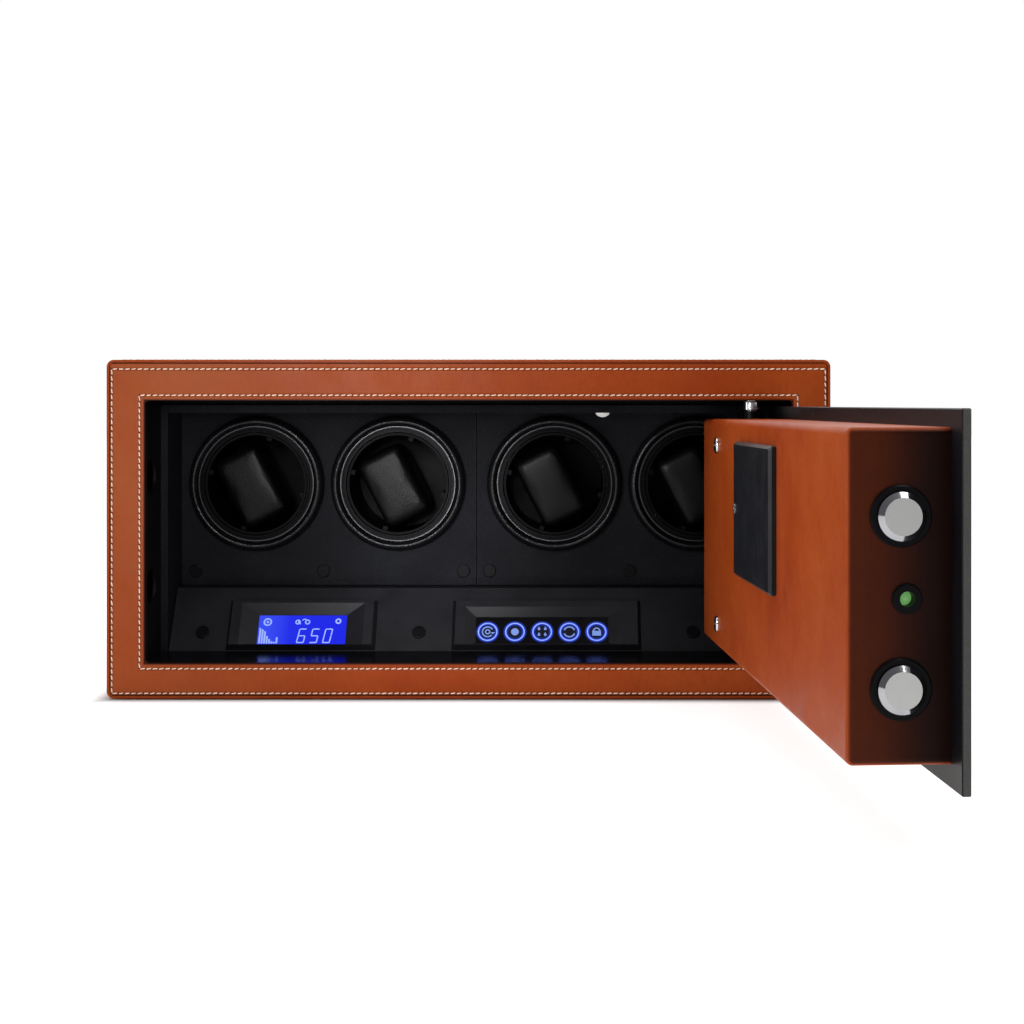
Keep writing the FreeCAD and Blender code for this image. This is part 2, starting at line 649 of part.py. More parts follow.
def status_led():
    x0 = DOOR["x"][0]
    stem = rod_x(3.1, x0 + 4.5, x0 + 12, LED_D, LED_Z)
    dome = Part.makeSphere(2.9, FreeCAD.Vector(x0 + 4.5, fy(LED_D), LED_Z))
    return stem.fuse(dome)


def door_screws():
    screws = []
    start = DOOR["d"][1]
    for z in DOOR_SCREW_Z:
        head = rod_y(5.0, DOOR_SCREW_X, start, start + 1.9, z)
        rim = [e for e in head.Edges if e.BoundBox.YMin > fy(start) + 1.5 and e.BoundBox.XLength > 2]
        head = head.makeFillet(1.2, rim)
        slot = block(DOOR_SCREW_X - 3.4, DOOR_SCREW_X + 3.4, start + 1.0, start + 3, z - 0.6, z + 0.6)
        cross = block(DOOR_SCREW_X - 0.6, DOOR_SCREW_X + 0.6, start + 1.0, start + 3, z - 3.4, z + 3.4)
        shank = rod_y(2.4, DOOR_SCREW_X, start - 12, start + 0.5, z)
        screws.append(head.cut(slot).cut(cross).fuse(shank))
    return group(screws)


def battery_cover():
    bx0, bx1 = BATTERY["x"]
    bz0, bz1 = BATTERY["z"]
    start = DOOR["d"][1]
    lid = rounded_block(bx0, bx1, start, start + 4, bz0, bz1, 2.0)
    rim = [e for e in lid.Edges if e.BoundBox.YMin > fy(start) + 3.9]
    lid = lid.makeChamfer(1.6, rim)
    lip = block(bx0 + 6.4, bx1 - 8.4, start - 3, start + 0.5, bz0 + 6.4, bz1 - 6.4)
    x, z = COVER_SCREW
    lid = lid.fuse(lip).cut(rod_y(1.7, x, start - 5, start + 6, z))
    return lid.cut(rod_y(3.0, x, start + 2.6, start + 6, z))


def cover_screw():
    x, z = COVER_SCREW
    start = DOOR["d"][1]
    head = rod_y(2.8, x, start + 2.6, start + 4.4, z)
    slot = block(x - 2, x + 2, start + 3.6, start + 6, z - 0.4, z + 0.4)
    return head.cut(slot).fuse(rod_y(1.6, x, start - 3, start + 3, z))


def battery_tray():
    bx0, bx1 = BATTERY["x"]
    bz0, bz1 = BATTERY["z"]
    back = DOOR["d"][1] - DOOR_LEATHER - DOOR_STEEL
    outer = block(bx0 + 4, bx1 - 6, back - 22, back, bz0 + 4, bz1 - 4)
    return outer.cut(block(bx0 + 6, bx1 - 8, back - 20, back + 1, bz0 + 6, bz1 - 6))


def batteries():
    """Four cells lying across the tray."""
    back = DOOR["d"][1] - DOOR_LEATHER - DOOR_STEEL
    middle = (BATTERY["x"][0] + BATTERY["x"][1]) / 2.0 - 1
    cells = []
    for i in range(4):
        z = BATTERY["z"][0] + 14.0 + i * 15.6
        cell = rod_x(7.2, middle - 24.5, middle + 23.5, back - 12, z)
        cells.append(cell.fuse(rod_x(2.7, middle + 23, middle + 25, back - 12, z)))
    return group(cells)


def keypad_unit():
    """Outside code pad: a slim slab let into the door plate, with its cable block behind."""
    slab = rounded_block(KEY_X - 34, KEY_X + 34, 1.0, 3.5, 84, 160, 6.0)
    rim = [e for e in slab.Edges if e.BoundBox.YMax < fy(1.0) + 0.01]
    slab = slab.makeFillet(0.8, rim)
    return slab.fuse(block(KEY_X - 7.8, KEY_X + 7.8, 3.4, 7.4, 118.2, 125.8))


def key_housing():
    bezel_ring = rod_y(13.0, KEY_X, 1.2, 3.5, KEY_Z)
    rim = [e for e in bezel_ring.Edges if e.BoundBox.YMax < fy(1.2) + 0.01 and e.BoundBox.XLength > 2]
    bezel_ring = bezel_ring.makeFillet(0.9, rim)
    barrel = rod_y(9.0, KEY_X, 3.4, 30, KEY_Z)
    return bezel_ring.fuse(barrel).cut(rod_y(6.6, KEY_X, 0, 32, KEY_Z))


def key_core():
    core = rod_y(6.5, KEY_X, 1.8, 30.5, KEY_Z)
    slot = block(KEY_X - 0.9, KEY_X + 0.9, 0, 14, KEY_Z - 4, KEY_Z + 4)
    cam = block(KEY_X - 4, KEY_X + 4, 30.4, 32.8, KEY_Z - 18, KEY_Z + 4)
    return core.cut(slot).fuse(cam)


def build():
    os.makedirs("parts", exist_ok=True)
    cabinet = {"base_mat": base_mat(), "leather_wrap": leather_wrap(), "steel_shell": steel_shell(),
               "leather_front": leather_front(), "front_flange": front_flange(), "back_plate": back_plate(),
               "back_screws": back_screws(), "dc_jack": dc_jack(), "liner_left": liner_left(),
               "liner_right": liner_right(), "liner_ceiling": liner_ceiling(),
               "ceiling_lamp": ceiling_lamp(), "liner_floor": liner_floor(), "screw_caps": screw_caps(),
               "console_panel": console_panel(),
               "lcd_bezel": bezel(LCD), "lcd_display": display_glass(LCD), "touch_bezel": bezel(TOUCH),
               "touch_glass": display_glass(TOUCH), "control_board": control_board(),
               "drive_frame": drive_frame(), "hinge_pins": hinge_pins()}
    cabinet["hinge_brackets"] = group([hinge_bracket(True), hinge_bracket(False)])
    for side in ("left", "right"):
        cabinet["winder_panel_" + side] = winder_panel(side)
    for name, maker in (("ring_pads", ring_pad), ("ring_collars", ring_collar), ("drive_belts", belt),
                        ("drive_motors", drive_motor), ("axle_bearings", axle_bearing)):
        cabinet[name] = group([maker(x) for x in CUP_X])
    for number, x in enumerate(CUP_X, 1):
        cabinet["cup_%d" % number] = cup(x)
        cabinet["cushion_%d" % number] = cushion(x)
        cabinet["motor_pulley_%d" % number] = motor_pulley(x)
    for name, shape in cabinet.items():
        save(name, shape)
    door = {"door_plate": door_plate(), "door_leather": door_leather(), "door_shell": door_shell(),
            "bolt_collars": bolt_collars(), "lock_bolts": lock_bolts(), "bolt_carrier": bolt_carrier(),
            "lock_actuator": lock_actuator(), "led_bush": led_bush(), "status_led": status_led(),
            "hinge_bushes": hinge_bushes(), "door_screws": door_screws(), "battery_cover": battery_cover(),
            "cover_screw": cover_screw(), "battery_tray": battery_tray(), "batteries": batteries(),
            "keypad_unit": keypad_unit(), "key_housing": key_housing(), "key_core": key_core()}
    for name, shape in door.items():
        save(name, swung(shape))


build()
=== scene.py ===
"""Looks of a winder box for four watches, with its safe-style door standing open.

Everything is in metres, in the frame of the CAD model: X to the right, Y to the back, Z up.
"""
import json
import math
import random

import bmesh
import bpy
from mathutils import Matrix, Vector


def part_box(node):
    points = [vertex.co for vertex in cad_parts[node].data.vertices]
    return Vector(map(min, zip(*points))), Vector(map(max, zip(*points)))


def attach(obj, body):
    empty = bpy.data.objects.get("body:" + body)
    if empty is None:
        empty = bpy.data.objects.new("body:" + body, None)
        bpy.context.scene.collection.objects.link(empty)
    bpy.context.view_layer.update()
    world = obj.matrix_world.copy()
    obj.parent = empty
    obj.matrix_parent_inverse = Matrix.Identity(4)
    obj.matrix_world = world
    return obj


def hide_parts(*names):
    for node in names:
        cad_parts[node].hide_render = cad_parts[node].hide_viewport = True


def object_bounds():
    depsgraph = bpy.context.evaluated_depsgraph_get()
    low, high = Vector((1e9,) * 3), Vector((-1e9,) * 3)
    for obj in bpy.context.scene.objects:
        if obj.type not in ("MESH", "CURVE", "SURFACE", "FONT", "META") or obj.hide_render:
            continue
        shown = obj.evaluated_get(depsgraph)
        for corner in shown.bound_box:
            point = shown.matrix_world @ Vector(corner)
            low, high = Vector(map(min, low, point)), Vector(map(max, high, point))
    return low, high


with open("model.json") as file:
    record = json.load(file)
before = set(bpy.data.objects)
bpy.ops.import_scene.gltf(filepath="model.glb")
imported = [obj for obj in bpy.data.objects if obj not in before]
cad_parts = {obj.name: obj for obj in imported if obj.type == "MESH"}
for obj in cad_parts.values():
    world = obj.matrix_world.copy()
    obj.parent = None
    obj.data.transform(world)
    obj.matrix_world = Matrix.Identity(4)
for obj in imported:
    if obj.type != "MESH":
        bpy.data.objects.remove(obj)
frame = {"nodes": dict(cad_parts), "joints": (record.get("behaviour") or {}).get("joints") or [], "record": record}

CAD_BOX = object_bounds()
MM = 0.001
NODES = frame["nodes"]

# Seams: thread laid in slanted stitches, and how far each row lies from the edge beside it.
STITCH_PITCH = 3.95 * MM
STITCH_LENGTH = 3.2 * MM
STITCH_WIDTH = 0.86 * MM
STITCH_SLANT = math.radians(8)
OUTER_ROW_INSET = 1.2 * MM
OUTER_ROW_TOP = 3.7 * MM
INNER_ROW_INSET = 3.3 * MM
ROLL_ROW_RISE = 0.1 * MM
ROLL_ROW_DEPTH = 2.6 * MM
ROLL_ROW_END = 9 * MM

# The ways the seams face: those of the front leather, and the one on the roll.
FORWARD = Vector((0, -1, 0))
UP = Vector((0, 0, 1))

# A stitch's height as a share of its width, and how blunt its ends are: less is blunter.
STITCH_FLATNESS = 0.8
STITCH_BLUNTNESS = 0.62
# The flat dark bead between stitches, in length, width and height: painted shade where each needle hole is.
NEEDLE_HOLE_SHADE = (0.8 * MM, 0.7 * MM, 0.10 * MM, 1)

# Padded rings: where the roll's crest lies between inner and outer edge, the steps round the
# roll and round the ring, and the slight swell of the foam with its waves per turn.
RING_CREST = 0.42
ROLL_STEPS = 28
RING_STEPS = 96
RING_SWELL = 0.05 * MM
RING_WAVES = (5, 9, 14)

# The cups' cushions lean to the left, and are this square: 2 is an ellipsoid, more is nearer
# a block. The cover starts as a block cut this finely, and a little smaller than it ends.
CUSHION_LEAN = math.radians(27)
CUSHION_POWER = 9.0
CUSHION_CUTS = 14
CUSHION_START = 0.97

# The cushions' covers as cloth: the cell of the even mesh, the pressure under it, its stiffness,
# the frames it is given and how far any point may travel.
COVER_CELL = 2.4 * MM
COVER_PRESSURE = 6
COVER_TENSION = 40
COVER_FRAMES = 20
COVER_TRAVEL = 1.2 * MM

# How far the display's figures and a touch key's halo lie above their glass. The key's ring and
# icon lie higher still by the third height, the icon in the second of the key's materials.
LCD_LIFT = 0.12 * MM
KEY_LIFT = 0.06 * MM
ICON_LIFT = 0.1 * MM
ICON = {"index": 1, "height": ICON_LIFT}

# Camera: to the right of the box's middle, in front of it and above the floor, in metres.
CAMERA_RIGHT = 0.0608
CAMERA_AHEAD = 1.008
CAMERA_HEIGHT = 0.1865
LENS = 56.25
SHIFT = (-0.0518, -0.106)

# Light of its own that the studio floor gives, as a lit table does, and how it falls off near
# the box as a painted contact shadow: none this far inside the footprint's edge, all of it this far outside.
FLOOR_GLOW = 0.9
FLOOR_SHADOW_FULL = -2 * MM
FLOOR_SHADOW_END = 15 * MM
FLOOR_GAP = 0.0002

# Black leather and leatherette by slot: colour, roughness, shine, and grain and depth if its own.
GRAINED = {
    "black_leatherette": ((0.0082, 0.0086, 0.0112), 0.55, 0.05),
    "soft_black_leather": ((0.0042, 0.0045, 0.0056), 0.29, 0.25, 760, 0.04 * MM),
    "cushion_leather": ((0.0012, 0.0013, 0.0016), 0.38, 0.12, 760, 0.035 * MM),
}

# Plastic and paint by slot: colour, roughness, shine, and texture and depth if its own.
MOULDED = {
    "black_steel": ((0.003, 0.003, 0.0035), 0.5, 0.08),
    "black_plastic": ((0.0035, 0.0035, 0.0045), 0.36, 0.06),
    "satin_black": ((0.0025, 0.0025, 0.003), 0.45, 0.04),
    "console_black": ((0.0115, 0.0118, 0.015), 0.42, 0.12, 900, 0.03 * MM),
    "cover_black": ((0.008, 0.0085, 0.011), 0.36, 0.25, 1100, 0.03 * MM),
    "gloss_black": ((0.003, 0.003, 0.004), 0.22, 0.12, 1400, 0.004 * MM),
    "cell_jacket": ((0.25, 0.25, 0.28), 0.3, 0.5),
    "black_rubber": ((0.016, 0.016, 0.016), 0.8, 0.2, 500, 0.06 * MM),
}

# Metal by slot: colour, roughness, and the stretch of its tool marks if they are drawn out.
METALS = {
    "zinc_steel": ((0.58, 0.59, 0.61), 0.32, (1, 1, 0.1)),
    "dark_screws": ((0.12, 0.12, 0.13), 0.35),
    "chrome": ((0.83, 0.83, 0.85), 0.12),
    "bronze": ((0.50, 0.34, 0.14), 0.3),
}

# Lit surfaces by slot: colour and strength.
LIT = {
    "green_led": ((0.13, 0.36, 0.10), 0.8),
    "lamp_white": ((1.0, 0.98, 0.95), 0.45),
}

# Soft boxes: name, place, aim, size and power.
SOFT_BOXES = (
    ("key", (-0.10, -0.50, 0.26), (-0.03, 0, 0.12), (0.12, 0.12), 0.3),
    ("glint", (-0.10, -0.46, 0.25), (-0.05, 0, 0.12), (0.10, 0.10), 1.1),
    ("left_box", (-0.85, -0.33, 0.42), (0.1, -0.25, 0.12), (0.26, 0.6), 1.1),
    ("right_box", (0.50, -0.60, 0.95), (0.10, -0.1, 0.16), (0.4, 0.4), 2.6),
    ("overhead", (-0.05, -0.28, 0.95), (0, -0.1, 0.1), (1.1, 0.30), 1.5),
    ("rim", (0, 0.45, 0.75), (0, -0.1, 0.2), (1.2, 0.3), 3),
)
# The lamp that acts on glossy reflections alone.
GLOSS_ONLY = "glint"


def corners(node):
    """Lowest and highest corner of a CAD node at rest."""
    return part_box(node)


def centre_of(node):
    """Middle of a CAD node's box at rest."""
    low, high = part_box(node)
    return (low + high) / 2


def joint(name):
    """A joint of the frame by its name."""
    return next(entry for entry in frame["joints"] if entry["name"] == name)


def door_swing():
    """The turn that takes the closed door to where it stands at rest."""
    hinge = joint("door_hinge")
    pivot = Matrix.Translation(Vector(hinge["pos_m"]))
    angle = -math.radians(hinge["range_deg"][0])
    return pivot @ Matrix.Rotation(angle, 4, Vector(hinge["axis"])) @ pivot.inverted()


SWING = door_swing()


def turned_box(node, turn):
    """Lowest and highest corner of a node once a matrix has turned it."""
    points = [turn @ vertex.co for vertex in NODES[node].data.vertices]
    low = Vector([min(point[i] for point in points) for i in range(3)])
    high = Vector([max(point[i] for point in points) for i in range(3)])
    return low, high


def outer_plane(node):
    """Frame of a sloping node's largest face, with its width and height.

    X is to the right, Y up the slope, Z outwards, and the origin lies in the middle of the face.
    """
    mesh = NODES[node].data
    areas = {}
    for polygon in mesh.polygons:
        key = tuple(round(value, 3) for value in polygon.normal)
        if key[1] < -0.1 and key[2] > 0.1:
            areas[key] = areas.get(key, 0) + polygon.area
    out = Vector(max(areas, key=areas.get)).normalized()
    up_slope = out.cross(Vector((1, 0, 0)))
    turn = Matrix(((1, up_slope.x, out.x), (0, up_slope.y, out.y), (0, up_slope.z, out.z)))
    local = [turn.transposed() @ vertex.co for vertex in mesh.vertices]
    top = max(point.z for point in local)
    face = [point for point in local if top - point.z < 0.05 * MM]
    low = Vector((min(p.x for p in face), min(p.y for p in face), top))
    high = Vector((max(p.x for p in face), max(p.y for p in face), top))
    origin = turn @ ((low + high) / 2)
    return Matrix.Translation(origin) @ turn.to_4x4(), high.x - low.x, high.y - low.y


# ---------------------------------------------------------------- node graphs

def add(tree, kind, inputs=None, **settings):
    """A new shader node. A socket given as an input is linked, and any other value is set."""
    node = tree.nodes.new("ShaderNode" + kind)
    for key, value in settings.items():
        setattr(node, key, value)
    for key, value in (inputs or {}).items():
        if isinstance(value, bpy.types.NodeSocket):
            tree.links.new(value, node.inputs[key])
        else:
            node.inputs[key].default_value = value
    return node


def new_material(name, **constants):
    """A Principled material with its constant inputs set, its tree and its object coordinates."""
    material = bpy.data.materials.new(name)
    material.use_nodes = True
    tree = material.node_tree
    for key, value in constants.items():
        tree.nodes["Principled BSDF"].inputs[key.replace("_", " ")].default_value = value
    place = add(tree, "TexCoord")
    return material, tree, place.outputs["Object"]


def plug(tree, **sockets):
    """Links sockets to the Principled shader's inputs of those names."""
    for key, socket in sockets.items():
        tree.links.new(socket, tree.nodes["Principled BSDF"].inputs[key.replace("_", " ")])


def noise(tree, place, scale, detail=3.0, roughness=0.5, stretch=None):
    """Noise over the surface, stretched along an axis where stretch gives scales for it."""
    if stretch:
        place = add(tree, "Mapping", {"Vector": place, "Scale": stretch}).outputs[0]
    settings = {"Vector": place, "Scale": scale, "Detail": detail, "Roughness": roughness}
    return add(tree, "TexNoise", settings).outputs["Fac"]


def cells(tree, place, scale):
    """Distance to the nearest crease between irregular cells, as leather grain has."""
    inputs = {"Vector": place, "Scale": scale}
    return add(tree, "TexVoronoi", inputs, feature="DISTANCE_TO_EDGE").outputs["Distance"]


def ramp(tree, factor, *stops):
    """Colours along a factor, given as (place, colour) pairs."""
    node = add(tree, "ValToRGB", {"Fac": factor})
    elements = node.color_ramp.elements
    while len(elements) < len(stops):
        elements.new(0.5)
    for element, (place, colour) in zip(elements, stops):
        element.position = place
        element.color = (*colour, 1)
    return node.outputs["Color"]


def remap(tree, value, low, high, to_low, to_high):
    """A value carried smoothly from one range to another."""
    inputs = {
        "Value": value, "From Min": low, "From Max": high, "To Min": to_low, "To Max": to_high,
    }
    return add(tree, "MapRange", inputs, interpolation_type="SMOOTHSTEP").outputs["Result"]


def math_node(tree, operation, first, second=0.0):
    """One arithmetic step."""
    return add(tree, "Math", {0: first, 1: second}, operation=operation).outputs[0]


def tint(tree, factor, first, second):
    """Two colours mixed by a factor. Those of a colour mix are the node's inputs 6 and 7."""
    inputs = {0: factor}
    for index, value in ((6, first), (7, second)):
        inputs[index] = value if isinstance(value, bpy.types.NodeSocket) else (*value, 1)
    return add(tree, "Mix", inputs, data_type="RGBA").outputs[2]


def bump(tree, height, distance, strength=1.0, under=None):
    """Relief from a height, over an earlier relief where one is given."""
    inputs = {"Height": height, "Distance": distance, "Strength": strength}
    if under is not None:
        inputs["Normal"] = under
    return add(tree, "Bump", inputs).outputs["Normal"]


def reach_along(tree, vector, direction):
    """How far a vector reaches along a direction."""
    inputs = {0: vector, 1: tuple(direction)}
    return add(tree, "VectorMath", inputs, operation="DOT_PRODUCT").outputs["Value"]


def facing(tree, direction):
    """How far the surface at rest faces a direction, from -1 to 1."""
    return reach_along(tree, add(tree, "TexCoord").outputs["Normal"], direction)


def distance_outside(tree, place, low, high, axes):
    """How far outside a rectangle along two axes a place lies, and below zero inside it."""
    parts = add(tree, "SeparateXYZ", {0: place})
    sides = []
    for axis in axes:
        shifted = math_node(tree, "SUBTRACT", parts.outputs[axis], (low[axis] + high[axis]) / 2)
        reach = math_node(tree, "ABSOLUTE", shifted)
        sides.append(math_node(tree, "SUBTRACT", reach, (high[axis] - low[axis]) / 2))
    return math_node(tree, "MAXIMUM", *sides)


# ------------------------------------------------------------------ materials

def cognac_leather(name, grooves=(), painted_sheen=False, painted_shade_side=None):
    """Smooth waxed cowhide: mottled tan, fine pores, and a pressed groove under each seam, darkened with painted
    shade.

    With painted sheen the hide pales towards its left end and its upper left corner: a painted highlight.
    The shaded side, where given, is a direction and two depths: faces looking that way get painted shade
    from brown to nearly black between those depths along Y of the closed door.
    """
    material, tree, place = new_material(name, Specular_IOR_Level=0.08)
    patches = noise(tree, place, 9, 4, 0.6)
    clouds = noise(tree, place, 42, 3, 0.55)
    streaks = noise(tree, place, 420, 2, 0.5, (1.0, 1.0, 0.4))
    pores = cells(tree, place, 900)
    hide = ramp(
        tree,
        patches,
        (0.28, (0.27, 0.034, 0.004)),
        (0.5, (0.345, 0.054, 0.006)),
        (0.75, (0.39, 0.074, 0.011)),
    )
    hide = tint(tree, remap(tree, clouds, 0.35, 0.7, 0, 0.3), hide, (0.37, 0.064, 0.009))
    hide = tint(tree, remap(tree, streaks, 0.4, 0.75, 0, 0.25), hide, (0.24, 0.030, 0.005))
    hide = tint(tree, remap(tree, pores, 0.0, 0.14, 0.25, 0), hide, (0.16, 0.022, 0.005))
    # Painted sheen: the hide paler and pinker towards its upper left, where a highlight falls.
    if painted_sheen:
        hide = tint(tree, painted_sheen_share(tree, place), hide, (0.37, 0.112, 0.046))
    relief = bump(tree, pores, 0.08 * MM, 0.6)
    relief = bump(tree, noise(tree, place, 120, 4), 0.25 * MM, 0.4, relief)
    for low, high, width, depth, shade, colour in grooves:
        distance = math_node(tree, "ABSOLUTE", distance_outside(tree, place, low, high, (0, 2)))
        shaded_groove = remap(tree, distance, 0, width, 1, 0)
        relief = bump(tree, math_node(tree, "SUBTRACT", 1.0, shaded_groove), depth, 1.0, relief)
        # Each groove is darkened with painted shade.
        hide = tint(tree, math_node(tree, "MULTIPLY", shaded_groove, shade), hide, colour)
    # Painted shade: faces along the shaded side darken from brown to nearly black over the door's depth.
    if painted_shade_side:
        direction, near, far = painted_shade_side
        turned = remap(tree, facing(tree, direction), 0.55, 0.95, 0, 1)
        inward = reach_along(tree, place, door_normal(0, 1, 0))
        depth = remap(tree, inward, near, far, 1.0, 0.0)
        painted_shade = math_node(tree, "MULTIPLY", turned, remap(tree, depth, 0, 1, 0.80, 0.985))
        hide = tint(tree, painted_shade, hide, (0.007, 0.0018, 0.0012))
    plug(tree, Base_Color=hide, Normal=relief, Roughness=remap(tree, clouds, 0.3, 0.7, 0.40, 0.52))
    return material


def painted_sheen_share(tree, place):
    """How much painted sheen pales the hide: most at its upper left corner, least at its right end."""
    low, high = corners("leather_front")
    parts = add(tree, "SeparateXYZ", {0: place})
    left = remap(tree, parts.outputs["X"], low.x, low.x + 0.42 * (high.x - low.x), 1, 0)
    level = remap(tree, parts.outputs["Z"], low.z, high.z, 0.28, 0.50)
    # Patchy painted sheen.
    sheen_patches = remap(tree, noise(tree, place, 16, 4, 0.6), 0.3, 0.7, 0.7, 1.25)
    return math_node(tree, "MULTIPLY", math_node(tree, "MULTIPLY", left, level), sheen_patches)


def grained_black(name, colour, rough, shine, grain=700, depth=0.09 * MM):
    """Black leather or leatherette: pebbled cells, finer pores and clouds of a paler grey."""
    material, tree, place = new_material(name, Specular_IOR_Level=shine)
    pebbles = cells(tree, place, grain)
    fine = noise(tree, place, grain * 3, 3)
    clouds = noise(tree, place, 30, 4)
    paler, darker = (tuple(value * share for value in colour) for share in (1.9, 0.4))
    skin = ramp(tree, clouds, (0.3, colour), (0.75, paler))
    skin = tint(tree, remap(tree, pebbles, 0, 0.12, 0.6, 0), skin, darker)
    relief = bump(tree, remap(tree, pebbles, 0, 0.18, 0, 1), depth, 0.8)
    relief = bump(tree, fine, depth * 0.5, 0.5, relief)
    uneven = remap(tree, fine, 0.3, 0.7, rough - 0.06, rough + 0.06)
    plug(tree, Base_Color=skin, Normal=relief, Roughness=uneven)
    return material


def moulded(name, colour, rough, shine=0.3, texture=1400, depth=0.02 * MM):
    """Moulded plastic or paint: even colour, faint handling marks and a fine moulded texture."""
    material, tree, place = new_material(name, Specular_IOR_Level=shine)
    fine = noise(tree, place, texture, 2)
    marks = noise(tree, place, 55, 5, 0.65)
    paler = tuple(value * 1.25 for value in colour)
    plug(
        tree,
        Base_Color=ramp(tree, marks, (0.35, colour), (0.7, paler)),
        Normal=bump(tree, fine, depth, 0.6),
        Roughness=remap(tree, marks, 0.3, 0.75, rough * 0.85, min(1, rough * 1.15)),
    )
    return material


def collar_black(name):
    """Black collars of the rings, whose outer corner is rubbed bright."""
    material, tree, place = new_material(name, Specular_IOR_Level=0.05)
    low, high = corners("ring_collars")
    centres = sorted(centre_of(f"cup_{number}").x for number in range(1, 5))
    between = (centres[0] + centres[1]) / 2
    apart = (centres[1] - centres[0]) / 2
    parts = add(tree, "SeparateXYZ", {0: place})
    across = math_node(tree, "ABSOLUTE", parts.outputs["X"])
    across = math_node(tree, "ABSOLUTE", math_node(tree, "ADD", across, between))
    across = math_node(tree, "SUBTRACT", across, apart)
    level = math_node(tree, "SUBTRACT", parts.outputs["Z"], (low.z + high.z) / 2)
    spot = add(tree, "CombineXYZ", {"X": across, "Y": level}).outputs[0]
    radius = add(tree, "VectorMath", {0: spot}, operation="LENGTH").outputs["Value"]
    rim = (high.z - low.z) / 2
    bright = remap(tree, radius, rim - 0.9 * MM, rim - 0.4 * MM, 0, 1)
    fine = noise(tree, place, 1400, 2)
    black = ramp(tree, fine, (0.3, (0.003, 0.003, 0.004)), (0.7, (0.004, 0.004, 0.005)))
    plug(
        tree,
        Base_Color=tint(tree, bright, black, (0.055, 0.055, 0.06)),
        Metallic=bright,
        Normal=bump(tree, fine, 0.01 * MM, 0.5),
        Roughness=remap(tree, fine, 0.3, 0.7, 0.30, 0.36),
    )
    return material


def metal(name, colour, rough, brush=(1.0, 1.0, 1.0)):
    """Plated or turned metal with fine tool marks drawn out along an axis."""
    material, tree, place = new_material(name, Metallic=1.0)
    marks = noise(tree, place, 900, 3, 0.6, brush)
    clouds = noise(tree, place, 60, 3)
    darker = tuple(value * 0.82 for value in colour)
    plug(
        tree,
        Base_Color=ramp(tree, clouds, (0.3, darker), (0.7, colour)),
        Normal=bump(tree, marks, 0.01 * MM, 0.35),
        Roughness=remap(tree, marks, 0.3, 0.7, rough * 0.8, rough * 1.25),
    )
    return material


def bolt_chrome(name, face_direction):
    """Chrome on a bolt's cone and barrel, with a satin ground end face."""
    material, tree, place = new_material(name, Metallic=1.0)
    marks = noise(tree, place, 1800, 3, 0.6)
    end = remap(tree, facing(tree, face_direction), 0.9, 0.98, 0, 1)
    polish = remap(tree, marks, 0.3, 0.7, 0.06, 0.14)
    plug(
        tree,
        Base_Color=tint(tree, end, (0.40, 0.40, 0.42), (0.49, 0.49, 0.48)),
        Normal=bump(tree, marks, 0.02 * MM, 0.25),
        Roughness=math_node(tree, "ADD", math_node(tree, "MULTIPLY", end, 0.34), polish),
    )
    return material


def plate_black(name, face_direction):
    """Satin black plate whose sawn edges show grey metal."""
    material, tree, place = new_material(name, Specular_IOR_Level=0.14)
    marks = noise(tree, place, 14, 2, 0.4)
    fine = noise(tree, place, 1600, 2)
    across = math_node(tree, "ABSOLUTE", facing(tree, face_direction))
    edge = remap(tree, across, 0.2, 0.75, 1, 0)
    paint = ramp(tree, marks, (0.3, (0.006, 0.0055, 0.007)), (0.75, (0.009, 0.008, 0.010)))
    grey = ramp(tree, fine, (0.3, (0.060, 0.062, 0.056)), (0.7, (0.085, 0.088, 0.080)))
    plug(
        tree,
        Base_Color=tint(tree, edge, paint, grey),
        Normal=bump(tree, fine, 0.02 * MM, 0.4),
        Roughness=remap(tree, marks, 0.3, 0.7, 0.36, 0.42),
    )
    return material


def glowing(name, colour, strength):
    """A lit surface, slightly uneven as a diffuser is."""
    material, tree, place = new_material(name, Emission_Strength=strength, Roughness=0.3)
    uneven = noise(tree, place, 400, 2)
    dim = tuple(value * 0.85 for value in colour)
    light = ramp(tree, uneven, (0.3, dim), (0.7, colour))
    plug(tree, Emission_Color=light, Base_Color=tint(tree, 0.7, light, (0.1, 0.1, 0.1)))
    return material


def lcd_backlight(name):
    """Blue display glass: a fine raster, and brighter towards its left end."""
    constants = {"Emission_Strength": 1.0, "Roughness": 0.12, "Coat_Weight": 0.5}
    material, tree, place = new_material(name, **constants)
    low, high = corners("lcd_display")
    parts = add(tree, "SeparateXYZ", {0: place})
    across = remap(tree, parts.outputs["X"], low.x, high.x, 0, 1)
    shade = ramp(
        tree,
        across,
        (0.0, (0.034, 0.068, 0.84)),
        (0.3, (0.006, 0.018, 0.74)),
        (1.0, (0.004, 0.012, 0.70)),
    )
    raster = noise(tree, place, 2600, 1)
    shade = tint(tree, remap(tree, raster, 0.35, 0.65, 0, 0.2), shade, (0.010, 0.015, 0.55))
    plug(tree, Emission_Color=shade, Base_Color=tint(tree, 0.85, shade, (0.0, 0.0, 0.1)))
    return material


def key_halo(name, radius):
    """Black glass around a lit ring: blue light that fades to both sides of the ring."""
    constants = {"Emission_Strength": 1.0, "Roughness": 0.06, "Coat_Weight": 0.6}
    material, tree, place = new_material(name, **constants)
    flat = add(tree, "VectorMath", {0: place, 1: (1, 1, 0)}, operation="MULTIPLY")
    out = add(tree, "VectorMath", {0: flat.outputs[0]}, operation="LENGTH").outputs["Value"]
    from_ring = math_node(tree, "ABSOLUTE", math_node(tree, "SUBTRACT", out, radius))
    near = ramp(
        tree,
        remap(tree, from_ring, 0, 2.8 * MM, 1, 0),
        (0.0, (0.0, 0.0, 0.004)),
        (0.5, (0.0, 0.006, 0.10)),
        (1.0, (0.02, 0.07, 0.85)),
    )
    plug(tree, Emission_Color=near, Base_Color=tint(tree, 0.9, near, (0.004, 0.004, 0.006)))
    return material


